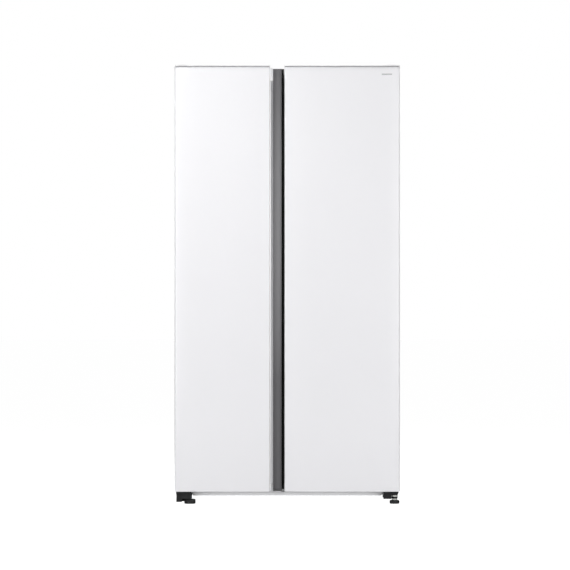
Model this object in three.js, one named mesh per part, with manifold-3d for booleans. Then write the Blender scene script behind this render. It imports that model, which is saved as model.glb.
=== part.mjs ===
// A free-standing side by side refrigerator, with the freezer on the left and the fridge on the right.
// Millimetres, +Z up, the doors face -Y, and the origin is on the floor under the middle of the appliance.
import * as THREE from "three";
import { mergeVertices } from "three/addons/utils/BufferGeometryUtils.js";
import Module from "manifold-3d";

const wasm = await Module();
wasm.setup();

// ---- Driving dimensions ----

const WIDTH = 912;
const HEIGHT = 1780;
const DEPTH = 716;
const FRONT = -DEPTH / 2;
const BACK = DEPTH / 2;

const FIT = 0.3; // gap between two pieces that touch
const SHEET = 1.5; // painted steel
const MOULDING = 2.5; // vacuum formed plastic
const OVERCUT = 5; // how far a cutter runs past what it cuts

const CABINET = {
  half: WIDTH / 2 - 2,
  front: FRONT + 106,
  back: BACK - SHEET - FIT,
  bottom: 40,
  top: HEIGHT - 36,
};
const CHAMBER = { floor: 110, ceiling: 1689, back: 295, stepFront: 100, stepTop: 340 };
const FREEZER = { left: -396, right: -44 };
const FRIDGE = { left: 12, right: 398 };
const MACHINE_ROOM = { front: 152, top: 290, coverTop: 298 };

// Shelves and drawers stand back from the cabinet's front, which leaves room for the door bins.
const FITTINGS_FRONT = -130;
const SHELF = { thickness: 5, trim: 12, sideGap: 2 };
const RIB = { height: 6, depth: 8 };
const FREEZER_SHELVES = { freezer_shelf_lower: 535, freezer_shelf_middle: 915, freezer_shelf_top: 1290 };
const FRIDGE_SHELVES = {
  crisper_cover: 535,
  fridge_shelf_lower: 815,
  fridge_shelf_middle: 1095,
  fridge_shelf_top: 1385,
};
const SHELF_BACK = { freezer: 228, fridge: 262 };
const DRAWER = { wall: 3, sideGap: 11, rim: 5, rimThickness: 3, grip: 8 };
const LOWER_DRAWER = { bottom: 112, top: 322, back: 90 };
const UPPER_DRAWER = { bottom: 346, top: 522 };

// A door is drawn from its hinge axis: u runs from the axis to the free edge and v runs into the cabinet.
const HINGE = { x: WIDTH / 2 - 24, y: FRONT + 56, pin: 6, bore: 6.45 };
const DOOR = {
  outer: -24,
  front: -56,
  back: 36,
  bottom: 52,
  top: HEIGHT - 4,
  capBottom: 66,
  capTop: 1744.3,
  pocketFloor: 1750,
  handleBottom: 60,
  handleTop: 1764,
};
const FREEZER_DOOR = {
  free: 411,
  edge: 364.5,
  lipReturn: 10,
  dyke: [42, 380],
  gasket: [4, 407],
  binBody: [62, 355],
};
const FRIDGE_DOOR = {
  free: 443,
  edge: 443,
  lipReturn: 16,
  dyke: [40, 412],
  gasket: [4, 439],
  binBody: [60, 388],
};
const DYKE = { width: 16, bottom: 116, top: 1683, reach: 66 };
const GASKET = { width: 16, bottom: 78, top: 1721 };
const BIN = { wall: 3, earClear: 0.5, earDepth: 60, reach: 156, corner: 30 };
const BIN_LEVELS = [
  { bottom: 560, height: 120 },
  { bottom: 850, height: 100 },
  { bottom: 1140, height: 100 },
  { bottom: 1430, height: 90 },
];

const STUD = { radius: 4.5, top: 47, clearance: 0.6 };
const LEFT_FOOT = { u: 37, v: 27, radius: 23, height: 20 };
const RIGHT_FOOT = { u: -3.6, v: 32, radius: 20, height: 15 };
const ROLLER = { x: 406, y: 300, radius: 22, width: 18, bore: 4.5, axle: 4 };
const BASE = { bottom: 36, top: 39.7, half: 440, front: -246, back: 350 };

const EVAPORATOR_FAN = { x: -220, y: 262, z: 960, radius: 55 };
const CONDENSER_FAN = { x: -82, y: 252, z: 165, radius: 66 };
const FAN_PIN = 4;
const COMPRESSOR = { x: 270, y: 250, radius: 74 };
const INLET = { x: 400, z: 250 };

// ---- Finishes ----

const finish = (color, roughness, metalness = 0, opacity = 1) =>
  new THREE.MeshStandardMaterial({ color, roughness, metalness, opacity, transparent: opacity < 1 });

const whitePaint = finish(0xf4f4f8, 0.25);
const whitePlastic = finish(0xf1f1f2, 0.4);
const linerPlastic = finish(0xeff1f3, 0.35);
const greyTrim = finish(0xdcdcde, 0.5);
const handleMetal = finish(0x77777c, 0.35, 0.8);
const sealRubber = finish(0xd5d5d8, 0.7);
const foam = finish(0xe6d9a8, 0.95);
const shelfGlass = finish(0xdfeaea, 0.05, 0, 0.4);
const clearPlastic = finish(0xe9eef2, 0.15, 0, 0.5);
const blackPlastic = finish(0x141415, 0.5);
const blackSteel = finish(0x18181a, 0.4, 0.5);
const galvanised = finish(0xb9bdbf, 0.45, 0.9);
const zincSteel = finish(0xc4c6c8, 0.35, 0.9);
const aluminium = finish(0xc8cacc, 0.4, 0.9);
const compressorPaint = finish(0x101011, 0.3, 0.3);

// ---- Solids ----

// A closed three.js geometry as a solid that can be joined and cut.
function solid(geometry) {
  const bare = geometry.clone();
  bare.deleteAttribute("normal");
  bare.deleteAttribute("uv");
  const merged = mergeVertices(bare, 1e-4);
  const vertProperties = new Float32Array(merged.attributes.position.array);
  const triVerts = new Uint32Array(merged.index.array);
  return new wasm.Manifold(new wasm.Mesh({ numProp: 3, vertProperties, triVerts }));
}

function geometryOf(made) {
  const mesh = made.getMesh();
  const positions = new THREE.BufferAttribute(new Float32Array(mesh.vertProperties), 3);
  const geometry = new THREE.BufferGeometry().setAttribute("position", positions);
  geometry.setIndex(new THREE.BufferAttribute(new Uint32Array(mesh.triVerts), 1));
  geometry.computeVertexNormals();
  return geometry;
}

const join = (first, ...others) => others.reduce((sum, next) => sum.add(next), first);
const cut = (body, ...tools) => tools.reduce((rest, tool) => rest.subtract(tool), body);

function block([x0, x1], [y0, y1], [z0, z1]) {
  const box = new THREE.BoxGeometry(x1 - x0, y1 - y0, z1 - z0);
  return solid(box.translate((x0 + x1) / 2, (y0 + y1) / 2, (z0 + z1) / 2));
}

// A closed outline through corners [x, y, radius]; a corner with no radius stays sharp.
function outline(corners) {
  const shape = new THREE.Shape();
  const at = (i) => new THREE.Vector2(...corners[(i + corners.length) % corners.length]);
  corners.forEach(([, , radius = 0], i) => {
    const here = at(i);
    const goTo = i === 0 ? shape.moveTo.bind(shape) : shape.lineTo.bind(shape);
    if (!radius) {
      goTo(here.x, here.y);
      return;
    }
    const back = at(i - 1).sub(here).normalize();
    const on = at(i + 1).sub(here).normalize();
    const half = Math.acos(back.dot(on)) / 2;
    const centre = back.clone().add(on).normalize().multiplyScalar(radius / Math.sin(half)).add(here);
    const start = here.clone().addScaledVector(back, radius / Math.tan(half));
    const end = here.clone().addScaledVector(on, radius / Math.tan(half));
    goTo(start.x, start.y);
    const angle = (point) => Math.atan2(point.y - centre.y, point.x - centre.x);
    shape.absarc(centre.x, centre.y, radius, angle(start), angle(end), back.cross(on) > 0);
  });
  return shape;
}

const rectangle = ([x0, x1], [y0, y1], radius = 0) =>
  outline([[x0, y0, radius], [x1, y0, radius], [x1, y1, radius], [x0, y1, radius]]);

// An outline in the X, Y plane pushed up from z0 to z1.
function prism(shape, [z0, z1], curveSegments = 4) {
  const made = new THREE.ExtrudeGeometry(shape, { depth: z1 - z0, bevelEnabled: false, curveSegments });
  return solid(made.translate(0, 0, z0));
}

// An outline in the Y, Z plane pushed along X from x0 to x1.
function bar(shape, [x0, x1], curveSegments = 4) {
  const made = new THREE.ExtrudeGeometry(shape, { depth: x1 - x0, bevelEnabled: false, curveSegments });
  const turn = new THREE.Matrix4().makeBasis(
    new THREE.Vector3(0, 1, 0),
    new THREE.Vector3(0, 0, 1),
    new THREE.Vector3(1, 0, 0),
  );
  return solid(made.applyMatrix4(turn).translate(x0, 0, 0));
}

const AXIS_TURNS = { x: [0, 0, -Math.PI / 2], y: [0, 0, 0], z: [Math.PI / 2, 0, 0] };

// A round bar of the given radius centred on a point, along one axis.
function rod(axis, radius, length, [x, y, z] = [0, 0, 0], sides = 20) {
  const made = new THREE.CylinderGeometry(radius, radius, length, sides);
  made.applyMatrix4(new THREE.Matrix4().makeRotationFromEuler(new THREE.Euler(...AXIS_TURNS[axis])));
  return solid(made.translate(x, y, z));
}

// A turned piece from a profile of [radius, height] that starts and ends on the Z axis.
function turned(profile, sides) {
  const made = new THREE.LatheGeometry(profile.map(([r, h]) => new THREE.Vector2(r, h)), sides);
  return solid(made.rotateX(Math.PI / 2));
}

function piece(name, shape, material, position = [0, 0, 0]) {
  const mesh = new THREE.Mesh(geometryOf(shape), material);
  mesh.name = name;
  mesh.position.set(...position);
  return mesh;
}

// ---- Cabinet: steel wrapper, foam and liners ----

const chamberWidth = (chamber, margin = 0) => [chamber.left - margin, chamber.right + margin];

// The space inside a liner, grown by a margin. It is shallow low down, in front of the machine room.
function chamberSpace(chamber, margin, front) {
  const low = CHAMBER.floor - margin;
  const step = CHAMBER.stepTop - margin;
  const high = CHAMBER.ceiling + margin;
  const shallow = CHAMBER.stepFront + margin;
  const deep = CHAMBER.back + margin;
  const side = outline([
    [front, low],
    [shallow, low],
    [shallow, step],
    [deep, step],
    [deep, high],
    [front, high],
  ]);
  return bar(side, chamberWidth(chamber, margin));
}

function cabinetShell() {
  const { half, front, back, bottom, top } = CABINET;
  const outside = block([-half, half], [front, back], [bottom, top]);
  const inside = block(
    [SHEET - half, half - SHEET],
    [front + SHEET, back + OVERCUT],
    [bottom - OVERCUT, top - SHEET],
  );
  const mouths = [FREEZER, FRIDGE].map((chamber) =>
    block(
      chamberWidth(chamber, MOULDING + FIT),
      [front - OVERCUT, front + 2 * SHEET],
      [CHAMBER.floor - MOULDING - FIT, CHAMBER.ceiling + MOULDING + FIT],
    ),
  );
  return cut(outside, inside, ...mouths);
}

function cabinetFoam() {
  const inset = SHEET + FIT;
  const { half, front, back, bottom, top } = CABINET;
  const body = block([inset - half, half - inset], [front + inset, back], [bottom + FIT, top - inset]);
  const spaces = [FREEZER, FRIDGE].map((chamber) => chamberSpace(chamber, MOULDING + FIT, front - OVERCUT));
  const machineRoom = block([-WIDTH, WIDTH], [MACHINE_ROOM.front, BACK], [0, MACHINE_ROOM.top]);
  return cut(body, ...spaces, machineRoom);
}

// A liner with a rib on each side wall under every shelf and hung drawer, given as pairs [level, back].
function liner(chamber, rests) {
  const shell = cut(
    chamberSpace(chamber, MOULDING, CABINET.front),
    chamberSpace(chamber, 0, CABINET.front - OVERCUT),
  );
  const ribs = rests.flatMap(([level, back]) => {
    const heights = [level - FIT - RIB.height, level - FIT];
    const run = [FITTINGS_FRONT + SHELF.trim + 2, back];
    return [
      block([chamber.left - 1, chamber.left + RIB.depth], run, heights),
      block([chamber.right - RIB.depth, chamber.right + 1], run, heights),
    ];
  });
  return join(shell, ...ribs);
}

function backPanel() {
  return block(
    [SHEET - CABINET.half, CABINET.half - SHEET],
    [BACK - SHEET, BACK],
    [MACHINE_ROOM.coverTop + FIT, CABINET.top - SHEET],
  );
}

// ---- Air side: evaporator, its cover and fan, and the fridge duct ----

const slot = (across, z, height, depth) => block(across, depth, [z, z + height]);

function evaporatorCover() {
  const panel = block([FREEZER.left + 2, FREEZER.right - 2], [232, 235], [CHAMBER.stepTop + 4, 1660]);
  const vents = [430, 700, 1070, 1440].flatMap((level) =>
    [0, 1, 2, 3].map((row) => slot([-300, -140], level + row * 16, 6, [225, 240])),
  );
  const motor = rod("y", 20, 14, [EVAPORATOR_FAN.x, 241, EVAPORATOR_FAN.z]);
  const pin = rod("y", FAN_PIN, 44, [EVAPORATOR_FAN.x, 256, EVAPORATOR_FAN.z], 12);
  return join(cut(panel, ...vents), motor, pin);
}

function evaporator() {
  const fins = Array.from({ length: 14 }, (_, i) => {
    const x = FREEZER.left + 26 + i * 23;
    return block([x, x + 2], [244, 286], [400, 640]);
  });
  const tubes = [430, 490, 550, 610].map((z) => rod("x", 5, 318, [-220, 265, z], 6));
  return join(tubes[0], ...fins, ...tubes.slice(1));
}

function airDuct() {
  const body = block([70, 340], [268, 292], [CHAMBER.stepTop + 60, 1640]);
  const vents = [620, 900, 1180, 1470].flatMap((level) =>
    [0, 1, 2, 3].map((row) => slot([145, 265], level + row * 16, 6, [260, 280])),
  );
  return cut(body, ...vents);
}

// An axial fan on the Z axis: a hub with a bore and flat, pitched blades.
function fan(radius, hubRadius, width, blades) {
  const hub = rod("z", hubRadius, width, [0, 0, 0], 20);
  const reach = radius - hubRadius + 3;
  const vanes = Array.from({ length: blades }, (_, i) => {
    const vane = new THREE.BoxGeometry(reach, radius * 0.62, 1.6);
    vane.rotateX(THREE.MathUtils.degToRad(24)).translate(hubRadius - 3 + reach / 2, 0, 0);
    return solid(vane.rotateZ((i * 2 * Math.PI) / blades));
  });
  return cut(join(hub, ...vanes), rod("z", FAN_PIN + 0.6, width * 3, [0, 0, 0], 16));
}

// ---- Machine room ----

function baseFrame() {
  const { half, bottom, top } = BASE;
  const plate = block([-half, half], [BASE.front, BASE.back], [bottom, top]);
  const front = MACHINE_ROOM.front - 4;
  const lip = block([-half, half], [front, front + 2], [bottom - 14, bottom + 1]);
  const wells = [-ROLLER.x, ROLLER.x].map((x) =>
    block(
      [x - ROLLER.width / 2 - 2, x + ROLLER.width / 2 + 2],
      [ROLLER.y - ROLLER.radius - 3, ROLLER.y + ROLLER.radius + 3],
      [bottom - 1, top + 1],
    ),
  );
  const brackets = [-1, 1].flatMap((side) => {
    const x = side * ROLLER.x;
    const ears = [-1, 1].map((edge) => {
      const inner = x + edge * (ROLLER.width / 2 + 2);
      const outer = inner + edge * 3;
      return block(
        [Math.min(inner, outer), Math.max(inner, outer)],
        [ROLLER.y - 12, ROLLER.y + 12],
        [ROLLER.radius - 9, bottom + 1],
      );
    });
    const axle = rod("x", ROLLER.axle, ROLLER.width + 14, [x, ROLLER.y, ROLLER.radius], 16);
    return [...ears, axle];
  });
  return join(cut(plate, ...wells), lip, ...brackets);
}

function roller() {
  const half = ROLLER.width / 2;
  const profile = [
    [0, -half],
    [ROLLER.radius - 2, -half],
    [ROLLER.radius, 2 - half],
    [ROLLER.radius, half - 2],
    [ROLLER.radius - 2, half],
    [0, half],
  ];
  return cut(turned(profile, 32), rod("z", ROLLER.bore, ROLLER.width * 2, [0, 0, 0], 16));
}

function compressor() {
  const { radius } = COMPRESSOR;
  const dome = [
    [0, 22],
    [radius - 16, 22],
    [radius - 4, 34],
    [radius, 60],
    [radius, 120],
    [radius - 6, 150],
    [radius - 24, 170],
    [radius - 50, 180],
    [0, 182],
  ];
  const plate = block([-95, 95], [-62, 62], [18, 23]);
  const corners = [[-82, -50], [82, -50], [82, 50], [-82, 50]];
  const feet = corners.map(([x, y]) => rod("z", 12, 19, [x, y, 9.8], 12));
  const terminals = block([60, 88], [-28, 28], [60, 120]);
  return join(turned(dome, 28), plate, terminals, ...feet);
}

function condenser() {
  const fins = Array.from({ length: 11 }, (_, i) => {
    const y = 176 + i * 15;
    return block([-372, -150], [y, y + 1.5], [58, 262]);
  });
  const tubes = [-340, -261, -182].flatMap((x) =>
    [100, 220].map((z) => rod("y", 4, 162, [x, 251, z], 6)),
  );
  const feet = [176, 326].map((y) => block([-372, -150], [y, y + 1.5], [BASE.top + FIT, 60]));
  return join(fins[0], ...fins.slice(1), ...tubes, ...feet);
}

function fanShroud() {
  const { x, y, z, radius } = CONDENSER_FAN;
  const wall = x + 24;
  const plate = block(
    [wall, wall + 3],
    [MACHINE_ROOM.front + 8, BACK - 8],
    [BASE.top + FIT, MACHINE_ROOM.top - 4],
  );
  const mouth = rod("x", radius + 7, 20, [wall, y, z], 32);
  const struts = [0, 1, 2].map((i) => {
    const strut = new THREE.BoxGeometry(3, radius + 12, 9).translate(1.5, (radius + 12) / 2, 0);
    return solid(strut.rotateX((i * 2 * Math.PI) / 3 + Math.PI / 2).translate(wall, y, z));
  });
  const motor = rod("x", 24, 34, [wall + 15, y, z], 24);
  const pin = rod("x", FAN_PIN, 44, [wall - 20, y, z], 12);
  return join(cut(plate, mouth), ...struts, motor, pin);
}

function machineCover() {
  const panel = block(
    [SHEET - CABINET.half, CABINET.half - SHEET],
    [BACK - SHEET, BACK],
    [CABINET.bottom + FIT, MACHINE_ROOM.coverTop],
  );
  const vents = [-330, -190, 60, 200].flatMap((x) =>
    Array.from({ length: 9 }, (_, row) => slot([x, x + 110], 84 + row * 18, 6, [BACK - 9, BACK + 9])),
  );
  const inletHole = rod("y", 13, 20, [INLET.x, BACK, INLET.z], 24);
  return cut(panel, ...vents, inletHole);
}

// The gland where the mains lead goes in: a plate behind the cover, with its collar in the cover's hole.
function powerInlet() {
  const plate = block([-20, 20], [-10, -SHEET - FIT], [-20, 20]);
  const collar = rod("y", 11, 9, [0, -4.5, 0], 24);
  const bore = rod("y", 4.5, 40, [0, 0, 0], 16);
  return cut(join(plate, collar), bore);
}

// ---- Hinges, front rail and feet ----

function topHinge() {
  const reach = CABINET.front - HINGE.y;
  const arm = outline([[-10, 120], [-10, -12, 9], [12, -12, 9], [40, reach], [40, 120]]);
  const plate = prism(arm, [DOOR.pocketFloor + 2, DOOR.pocketFloor + 7]);
  const foot = block([-10, 40], [reach + 2, 120], [CABINET.top + FIT, DOOR.pocketFloor + 2.5]);
  const pin = rod("z", HINGE.pin, 30, [0, 0, DOOR.pocketFloor - 10], 24);
  return join(plate, foot, pin);
}

// The moulded cover over a top hinge. Its nose reaches over the door's pocket and clears the pocket's floor.
function hingeCover() {
  const reach = CABINET.front - HINGE.y;
  const wall = 1.6;
  const around = (inset) =>
    outline([
      [-12 + inset, 150 - inset],
      [-12 + inset, -18 + inset, 12],
      [17 - inset, -18 + inset, 12],
      [48 - inset, reach - 4],
      [48 - inset, 150 - inset],
    ]);
  const shell = cut(
    prism(around(0), [CABINET.top + FIT, HEIGHT]),
    prism(around(wall), [CABINET.top - OVERCUT, HEIGHT - wall]),
  );
  const underNose = block([-60, 80], [-60, reach + 2], [CABINET.top - OVERCUT, DOOR.pocketFloor + 1.3]);
  return cut(shell, underNose);
}

const BRACKET = { top: 50, bottom: 40.5, outer: -18, inner: 42, front: -20 };

// Both bottom hinges have a plate under the door, a flange bolted to the cabinet and the hinge pin.
function bottomHingePlate() {
  const face = CABINET.front - HINGE.y - FIT;
  const plate = block([BRACKET.outer, BRACKET.inner], [BRACKET.front, face], [BRACKET.bottom, BRACKET.top]);
  const flange = block([BRACKET.outer, BRACKET.inner], [face - 3, face], [BRACKET.bottom, 74]);
  const pin = rod("z", HINGE.pin, 32, [0, 0, BRACKET.top + 14], 24);
  return join(plate, flange, pin);
}

const studHole = ({ u, v }) => rod("z", STUD.radius + STUD.clearance, 60, [u, v, 35], 20);

function leftBottomHinge() {
  const skid = block([BRACKET.outer, 4], [4, 42], [8, BRACKET.bottom + 1]);
  const housing = block([3, BRACKET.inner], [-12, 12], [21, BRACKET.bottom + 1]);
  const boss = rod("z", 9, 20, [LEFT_FOOT.u, LEFT_FOOT.v, 34], 20);
  return cut(join(bottomHingePlate(), skid, housing, boss), studHole(LEFT_FOOT));
}

function rightBottomHinge() {
  const housing = block([10, BRACKET.inner], [-12, 30], [21, BRACKET.bottom + 1]);
  return cut(join(bottomHingePlate(), housing), studHole(RIGHT_FOOT));
}

function levellingFoot({ radius, height }) {
  const profile = [
    [0, 0],
    [radius - 4, 0],
    [radius - 1, 2],
    [radius, 5],
    [radius, height - 3],
    [radius - 2, height],
    [9, height],
    [9, height + 3],
    [STUD.radius, height + 3],
    [STUD.radius, STUD.top],
    [0, STUD.top],
  ];
  return turned(profile, 32);
}

function frontRail() {
  const face = CABINET.front - FIT;
  const section = outline([
    [face - 5, 36, 2],
    [face + 30, 36],
    [face + 30, 38],
    [face, 38],
    [face, 50],
    [face - 5, 50, 2],
  ]);
  const body = bar(section, [-384, 384]);
  return cut(body, block([-384 - OVERCUT, 384 + OVERCUT], [face + 6, face + 40], [30, 45]));
}

// ---- Doors ----

// Inside the sheet, what fills a door starts one fit behind it and follows its rounded corners.
const doorCorner = [DOOR.outer + SHEET + FIT, DOOR.front + SHEET + FIT];
const CORNER = { outer: 6, edge: 5, inner: 4 };
const hingePocket = () =>
  block([DOOR.outer - OVERCUT, 56], [-36, DOOR.back + OVERCUT], [DOOR.pocketFloor, HEIGHT]);

function doorSkin(door) {
  const { outer, front, back } = DOOR;
  const section = outline([
    [door.edge, front + door.lipReturn],
    [door.edge, front, CORNER.edge],
    [outer, front, CORNER.outer],
    [outer, back],
    [outer + SHEET, back],
    [outer + SHEET, front + SHEET, CORNER.outer - SHEET],
    [door.edge - SHEET, front + SHEET, CORNER.edge - SHEET],
    [door.edge - SHEET, front + door.lipReturn],
  ]);
  return cut(prism(section, [DOOR.bottom, DOOR.top]), hingePocket());
}

// The freezer's grip is an open channel: a front lip, a finger groove and a floor out to the free edge.
const freezerGrip = () =>
  outline([
    [364.8, -55],
    [375, -47, 1],
    [375, -42, 1],
    [354, -36],
    [352, -34],
    [352, -8],
    [354, -6],
    [FREEZER_DOOR.free, -6, 2],
    [FREEZER_DOOR.free, 33.2],
    [408.5, 33.2],
    [408.5, -3.5],
    [349.5, -3.5],
    [349.5, -38.5],
    [364.8, -43],
  ]);

// The fridge's grip is a groove in the door's edge, behind the front sheet.
const fridgeGrip = () =>
  outline([
    [FRIDGE_DOOR.free, -39.7],
    [FRIDGE_DOOR.free, -36],
    [418, -36],
    [416, -34],
    [416, -8],
    [418, -6],
    [FRIDGE_DOOR.free, -6],
    [FRIDGE_DOOR.free, 33.2],
    [440.5, 33.2],
    [440.5, -3.5],
    [413.5, -3.5],
    [413.5, -39.7],
  ]);

// Where foam may lie in plan, behind the sheet and round the back of the grip.
const freezerCore = () =>
  outline([
    [...doorCorner, CORNER.inner],
    [362.7, doorCorner[1], CORNER.inner],
    [362.7, -45.5],
    [349.2, -41.5],
    [349.2, -3.2],
    [408.2, -3.2],
    [408.2, 33.2],
    [doorCorner[0], 33.2],
  ]);
const fridgeCore = () =>
  outline([
    [...doorCorner, CORNER.inner],
    [441.2, doorCorner[1], CORNER.inner],
    [441.2, -40],
    [413.2, -40],
    [413.2, -3.2],
    [440.2, -3.2],
    [440.2, 33.2],
    [doorCorner[0], 33.2],
  ]);

const TOP_BOSS = { radius: 14, bottom: 1718 };
const BOTTOM_BOSS = { radius: 14, top: 90 };
const pocketRound = (boss, [z0, z1]) => rod("z", boss.radius + FIT * 3, z1 - z0, [0, 0, (z0 + z1) / 2], 24);

function doorFoam(core) {
  const body = prism(core, [DOOR.capBottom + FIT, DOOR.capTop - FIT]);
  return cut(
    body,
    pocketRound(TOP_BOSS, [TOP_BOSS.bottom - 1, HEIGHT]),
    pocketRound(BOTTOM_BOSS, [0, BOTTOM_BOSS.top + 1]),
  );
}

// A cap's plan from the hinged side to the given place, following the sheet's rounded corner.
const capPlan = (end) =>
  outline([
    [...doorCorner, CORNER.inner],
    [end, doorCorner[1]],
    [end, DOOR.back],
    [doorCorner[0], DOOR.back],
  ]);

// The caps close the door's ends, inside the sheet, and carry the plain bearings for the hinge pins.
function topCap({ gripBack, lipEnd, floorEnd, floorTop }) {
  const v = doorCorner[1];
  const main = prism(capPlan(gripBack), [DOOR.capTop, DOOR.top]);
  const front = outline([
    [gripBack - 1, v],
    [lipEnd, v, CORNER.inner],
    [lipEnd, DOOR.back],
    [gripBack - 1, DOOR.back],
  ]);
  const overGrip = prism(front, [DOOR.handleTop + FIT, DOOR.top]);
  const behindGrip = block([gripBack - 1, floorEnd], [-3.2, DOOR.back], [DOOR.capTop, floorTop]);
  const boss = rod("z", TOP_BOSS.radius, 40, [0, 0, TOP_BOSS.bottom + 20], 24);
  const bore = rod("z", HINGE.bore, 200, [0, 0, TOP_BOSS.bottom + 104], 24);
  return cut(join(main, overGrip, behindGrip, boss), hingePocket(), bore);
}

function bottomCap({ gripBack, floorEnd }) {
  const main = prism(capPlan(gripBack), [DOOR.bottom, DOOR.capBottom]);
  const underGrip = block(
    [gripBack - 1, floorEnd],
    [doorCorner[1] + 14, DOOR.back],
    [DOOR.bottom, DOOR.handleBottom - FIT],
  );
  const boss = rod("z", BOTTOM_BOSS.radius, 38, [0, 0, DOOR.bottom + 19], 24);
  const bore = rod("z", HINGE.bore, 68, [0, 0, DOOR.bottom], 24);
  return cut(join(main, underGrip, boss), bore);
}

function doorLiner(door) {
  const sheet = block(
    [doorCorner[0], door.free],
    [DOOR.back - MOULDING, DOOR.back],
    [DOOR.capBottom + FIT, DOOR.capTop - FIT],
  );
  const [u0, u1] = door.dyke;
  const ridge = block([u0, u1], [DOOR.back - 1, DYKE.reach], [DYKE.bottom, DYKE.top]);
  const { width } = DYKE;
  const hollow = block(
    [u0 + width, u1 - width],
    [DOOR.back, DYKE.reach + OVERCUT],
    [DYKE.bottom + width, DYKE.top - width],
  );
  return join(sheet, cut(ridge, hollow));
}

function doorGasket(door) {
  const [u0, u1] = door.gasket;
  const { width, bottom, top } = GASKET;
  const depth = [DOOR.back + FIT, CABINET.front - HINGE.y - FIT];
  const ring = block([u0, u1], depth, [bottom, top]);
  return cut(ring, block([u0 + width, u1 - width], [0, 100], [bottom + width, top - width]));
}

// A door bin. Its ears hook between the dyke's walls, and its round corners swing past the liner.
function doorBin(door, height) {
  const [a, b] = door.dyke.map((u, i) => u + (i ? -1 : 1) * (DYKE.width + BIN.earClear));
  const [c, d] = door.binBody;
  const back = DOOR.back + 1;
  const { wall, earDepth, reach, corner } = BIN;
  const outside = outline([
    [a, back],
    [b, back],
    [b, earDepth],
    [d, earDepth + 4],
    [d, reach, corner],
    [c, reach, corner],
    [c, earDepth + 4],
    [a, earDepth],
  ]);
  const inside = outline([
    [c + wall, back + wall],
    [d - wall, back + wall],
    [d - wall, reach - wall, corner - wall],
    [c + wall, reach - wall, corner - wall],
  ]);
  return cut(prism(outside, [0, height]), prism(inside, [wall, height + OVERCUT]));
}

// ---- Shelves and drawers ----

// A glass shelf with a moulded front trim and a raised lip at the back.
function shelf(width, back) {
  const { thickness, trim } = SHELF;
  const across = [-width / 2, width / 2];
  const glass = block(across, [FITTINGS_FRONT, back], [0, thickness]);
  const front = block(across, [FITTINGS_FRONT, FITTINGS_FRONT + trim], [-4, thickness + 4]);
  const lip = block(across, [back - 6, back], [0, thickness + 9]);
  return join(glass, front, lip);
}

// A drawer: an open tub with a rim that hangs on the liner's ribs and a grip along the top of its front.
function drawer(width, height, back) {
  const { wall, rim, rimThickness, grip } = DRAWER;
  const half = width / 2;
  const tub = block([-half, half], [FITTINGS_FRONT, back], [0, height]);
  const inside = block(
    [wall - half, half - wall],
    [FITTINGS_FRONT + wall, back - wall],
    [wall, height + OVERCUT],
  );
  const rims = [-1, 1].map((side) => {
    const edges = [side * (half - 1), side * (half + rim)].sort((a, b) => a - b);
    return block(edges, [FITTINGS_FRONT + 16, back], [height - rimThickness, height]);
  });
  const face = FITTINGS_FRONT - grip;
  const lip = block([60 - half, half - 60], [face, FITTINGS_FRONT + 1], [height - 26, height - 4]);
  const fingers = block([64 - half, half - 64], [face + 3, FITTINGS_FRONT - FIT], [height - 40, height - 8]);
  return join(cut(tub, inside), ...rims, cut(lip, fingers));
}

// ---- Assembly ----

const refrigerator = new THREE.Group();
const cabinet = new THREE.Group();
refrigerator.add(cabinet);

cabinet.add(
  piece("cabinet_shell", cabinetShell(), whitePaint),
  piece("cabinet_foam", cabinetFoam(), foam),
  piece("back_panel", backPanel(), galvanised),
  piece("machine_cover", machineCover(), galvanised),
  piece("base_frame", baseFrame(), galvanised),
  piece("front_rail", frontRail(), greyTrim),
  piece("evaporator_cover", evaporatorCover(), linerPlastic),
  piece("evaporator", evaporator(), aluminium),
  piece("fridge_air_duct", airDuct(), linerPlastic),
  piece("compressor", compressor(), compressorPaint, [COMPRESSOR.x, COMPRESSOR.y, BASE.top + FIT]),
  piece("condenser", condenser(), aluminium),
  piece("fan_shroud", fanShroud(), blackPlastic),
  piece("power_inlet", powerInlet(), blackPlastic, [INLET.x, BACK, INLET.z]),
);

const chambers = {
  freezer: { space: FREEZER, shelves: FREEZER_SHELVES, back: SHELF_BACK.freezer, drawer: "freezer_drawer" },
  fridge: { space: FRIDGE, shelves: FRIDGE_SHELVES, back: SHELF_BACK.fridge, drawer: "crisper_drawer" },
};
for (const [name, { space, shelves, back, drawer: drawerName }] of Object.entries(chambers)) {
  const middle = (space.left + space.right) / 2;
  const width = space.right - space.left;
  const upperBack = back - 6;
  const rests = [
    [LOWER_DRAWER.top - DRAWER.rimThickness, LOWER_DRAWER.back],
    [UPPER_DRAWER.top - DRAWER.rimThickness, upperBack],
    ...Object.values(shelves).map((level) => [level, back]),
  ];
  cabinet.add(piece(`${name}_liner`, liner(space, rests), linerPlastic));
  for (const [shelfName, level] of Object.entries(shelves)) {
    cabinet.add(piece(shelfName, shelf(width - 2 * SHELF.sideGap, back), shelfGlass, [middle, 0, level]));
  }
  const drawerWidth = width - 2 * DRAWER.sideGap;
  const upper = drawer(drawerWidth, UPPER_DRAWER.top - UPPER_DRAWER.bottom, upperBack);
  const shallow = drawer(drawerWidth, LOWER_DRAWER.top - LOWER_DRAWER.bottom, LOWER_DRAWER.back);
  cabinet.add(
    piece(`${drawerName}_upper`, upper, clearPlastic, [middle, 0, UPPER_DRAWER.bottom]),
    piece(`${drawerName}_lower`, shallow, clearPlastic, [middle, 0, LOWER_DRAWER.bottom]),
  );
}

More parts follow.
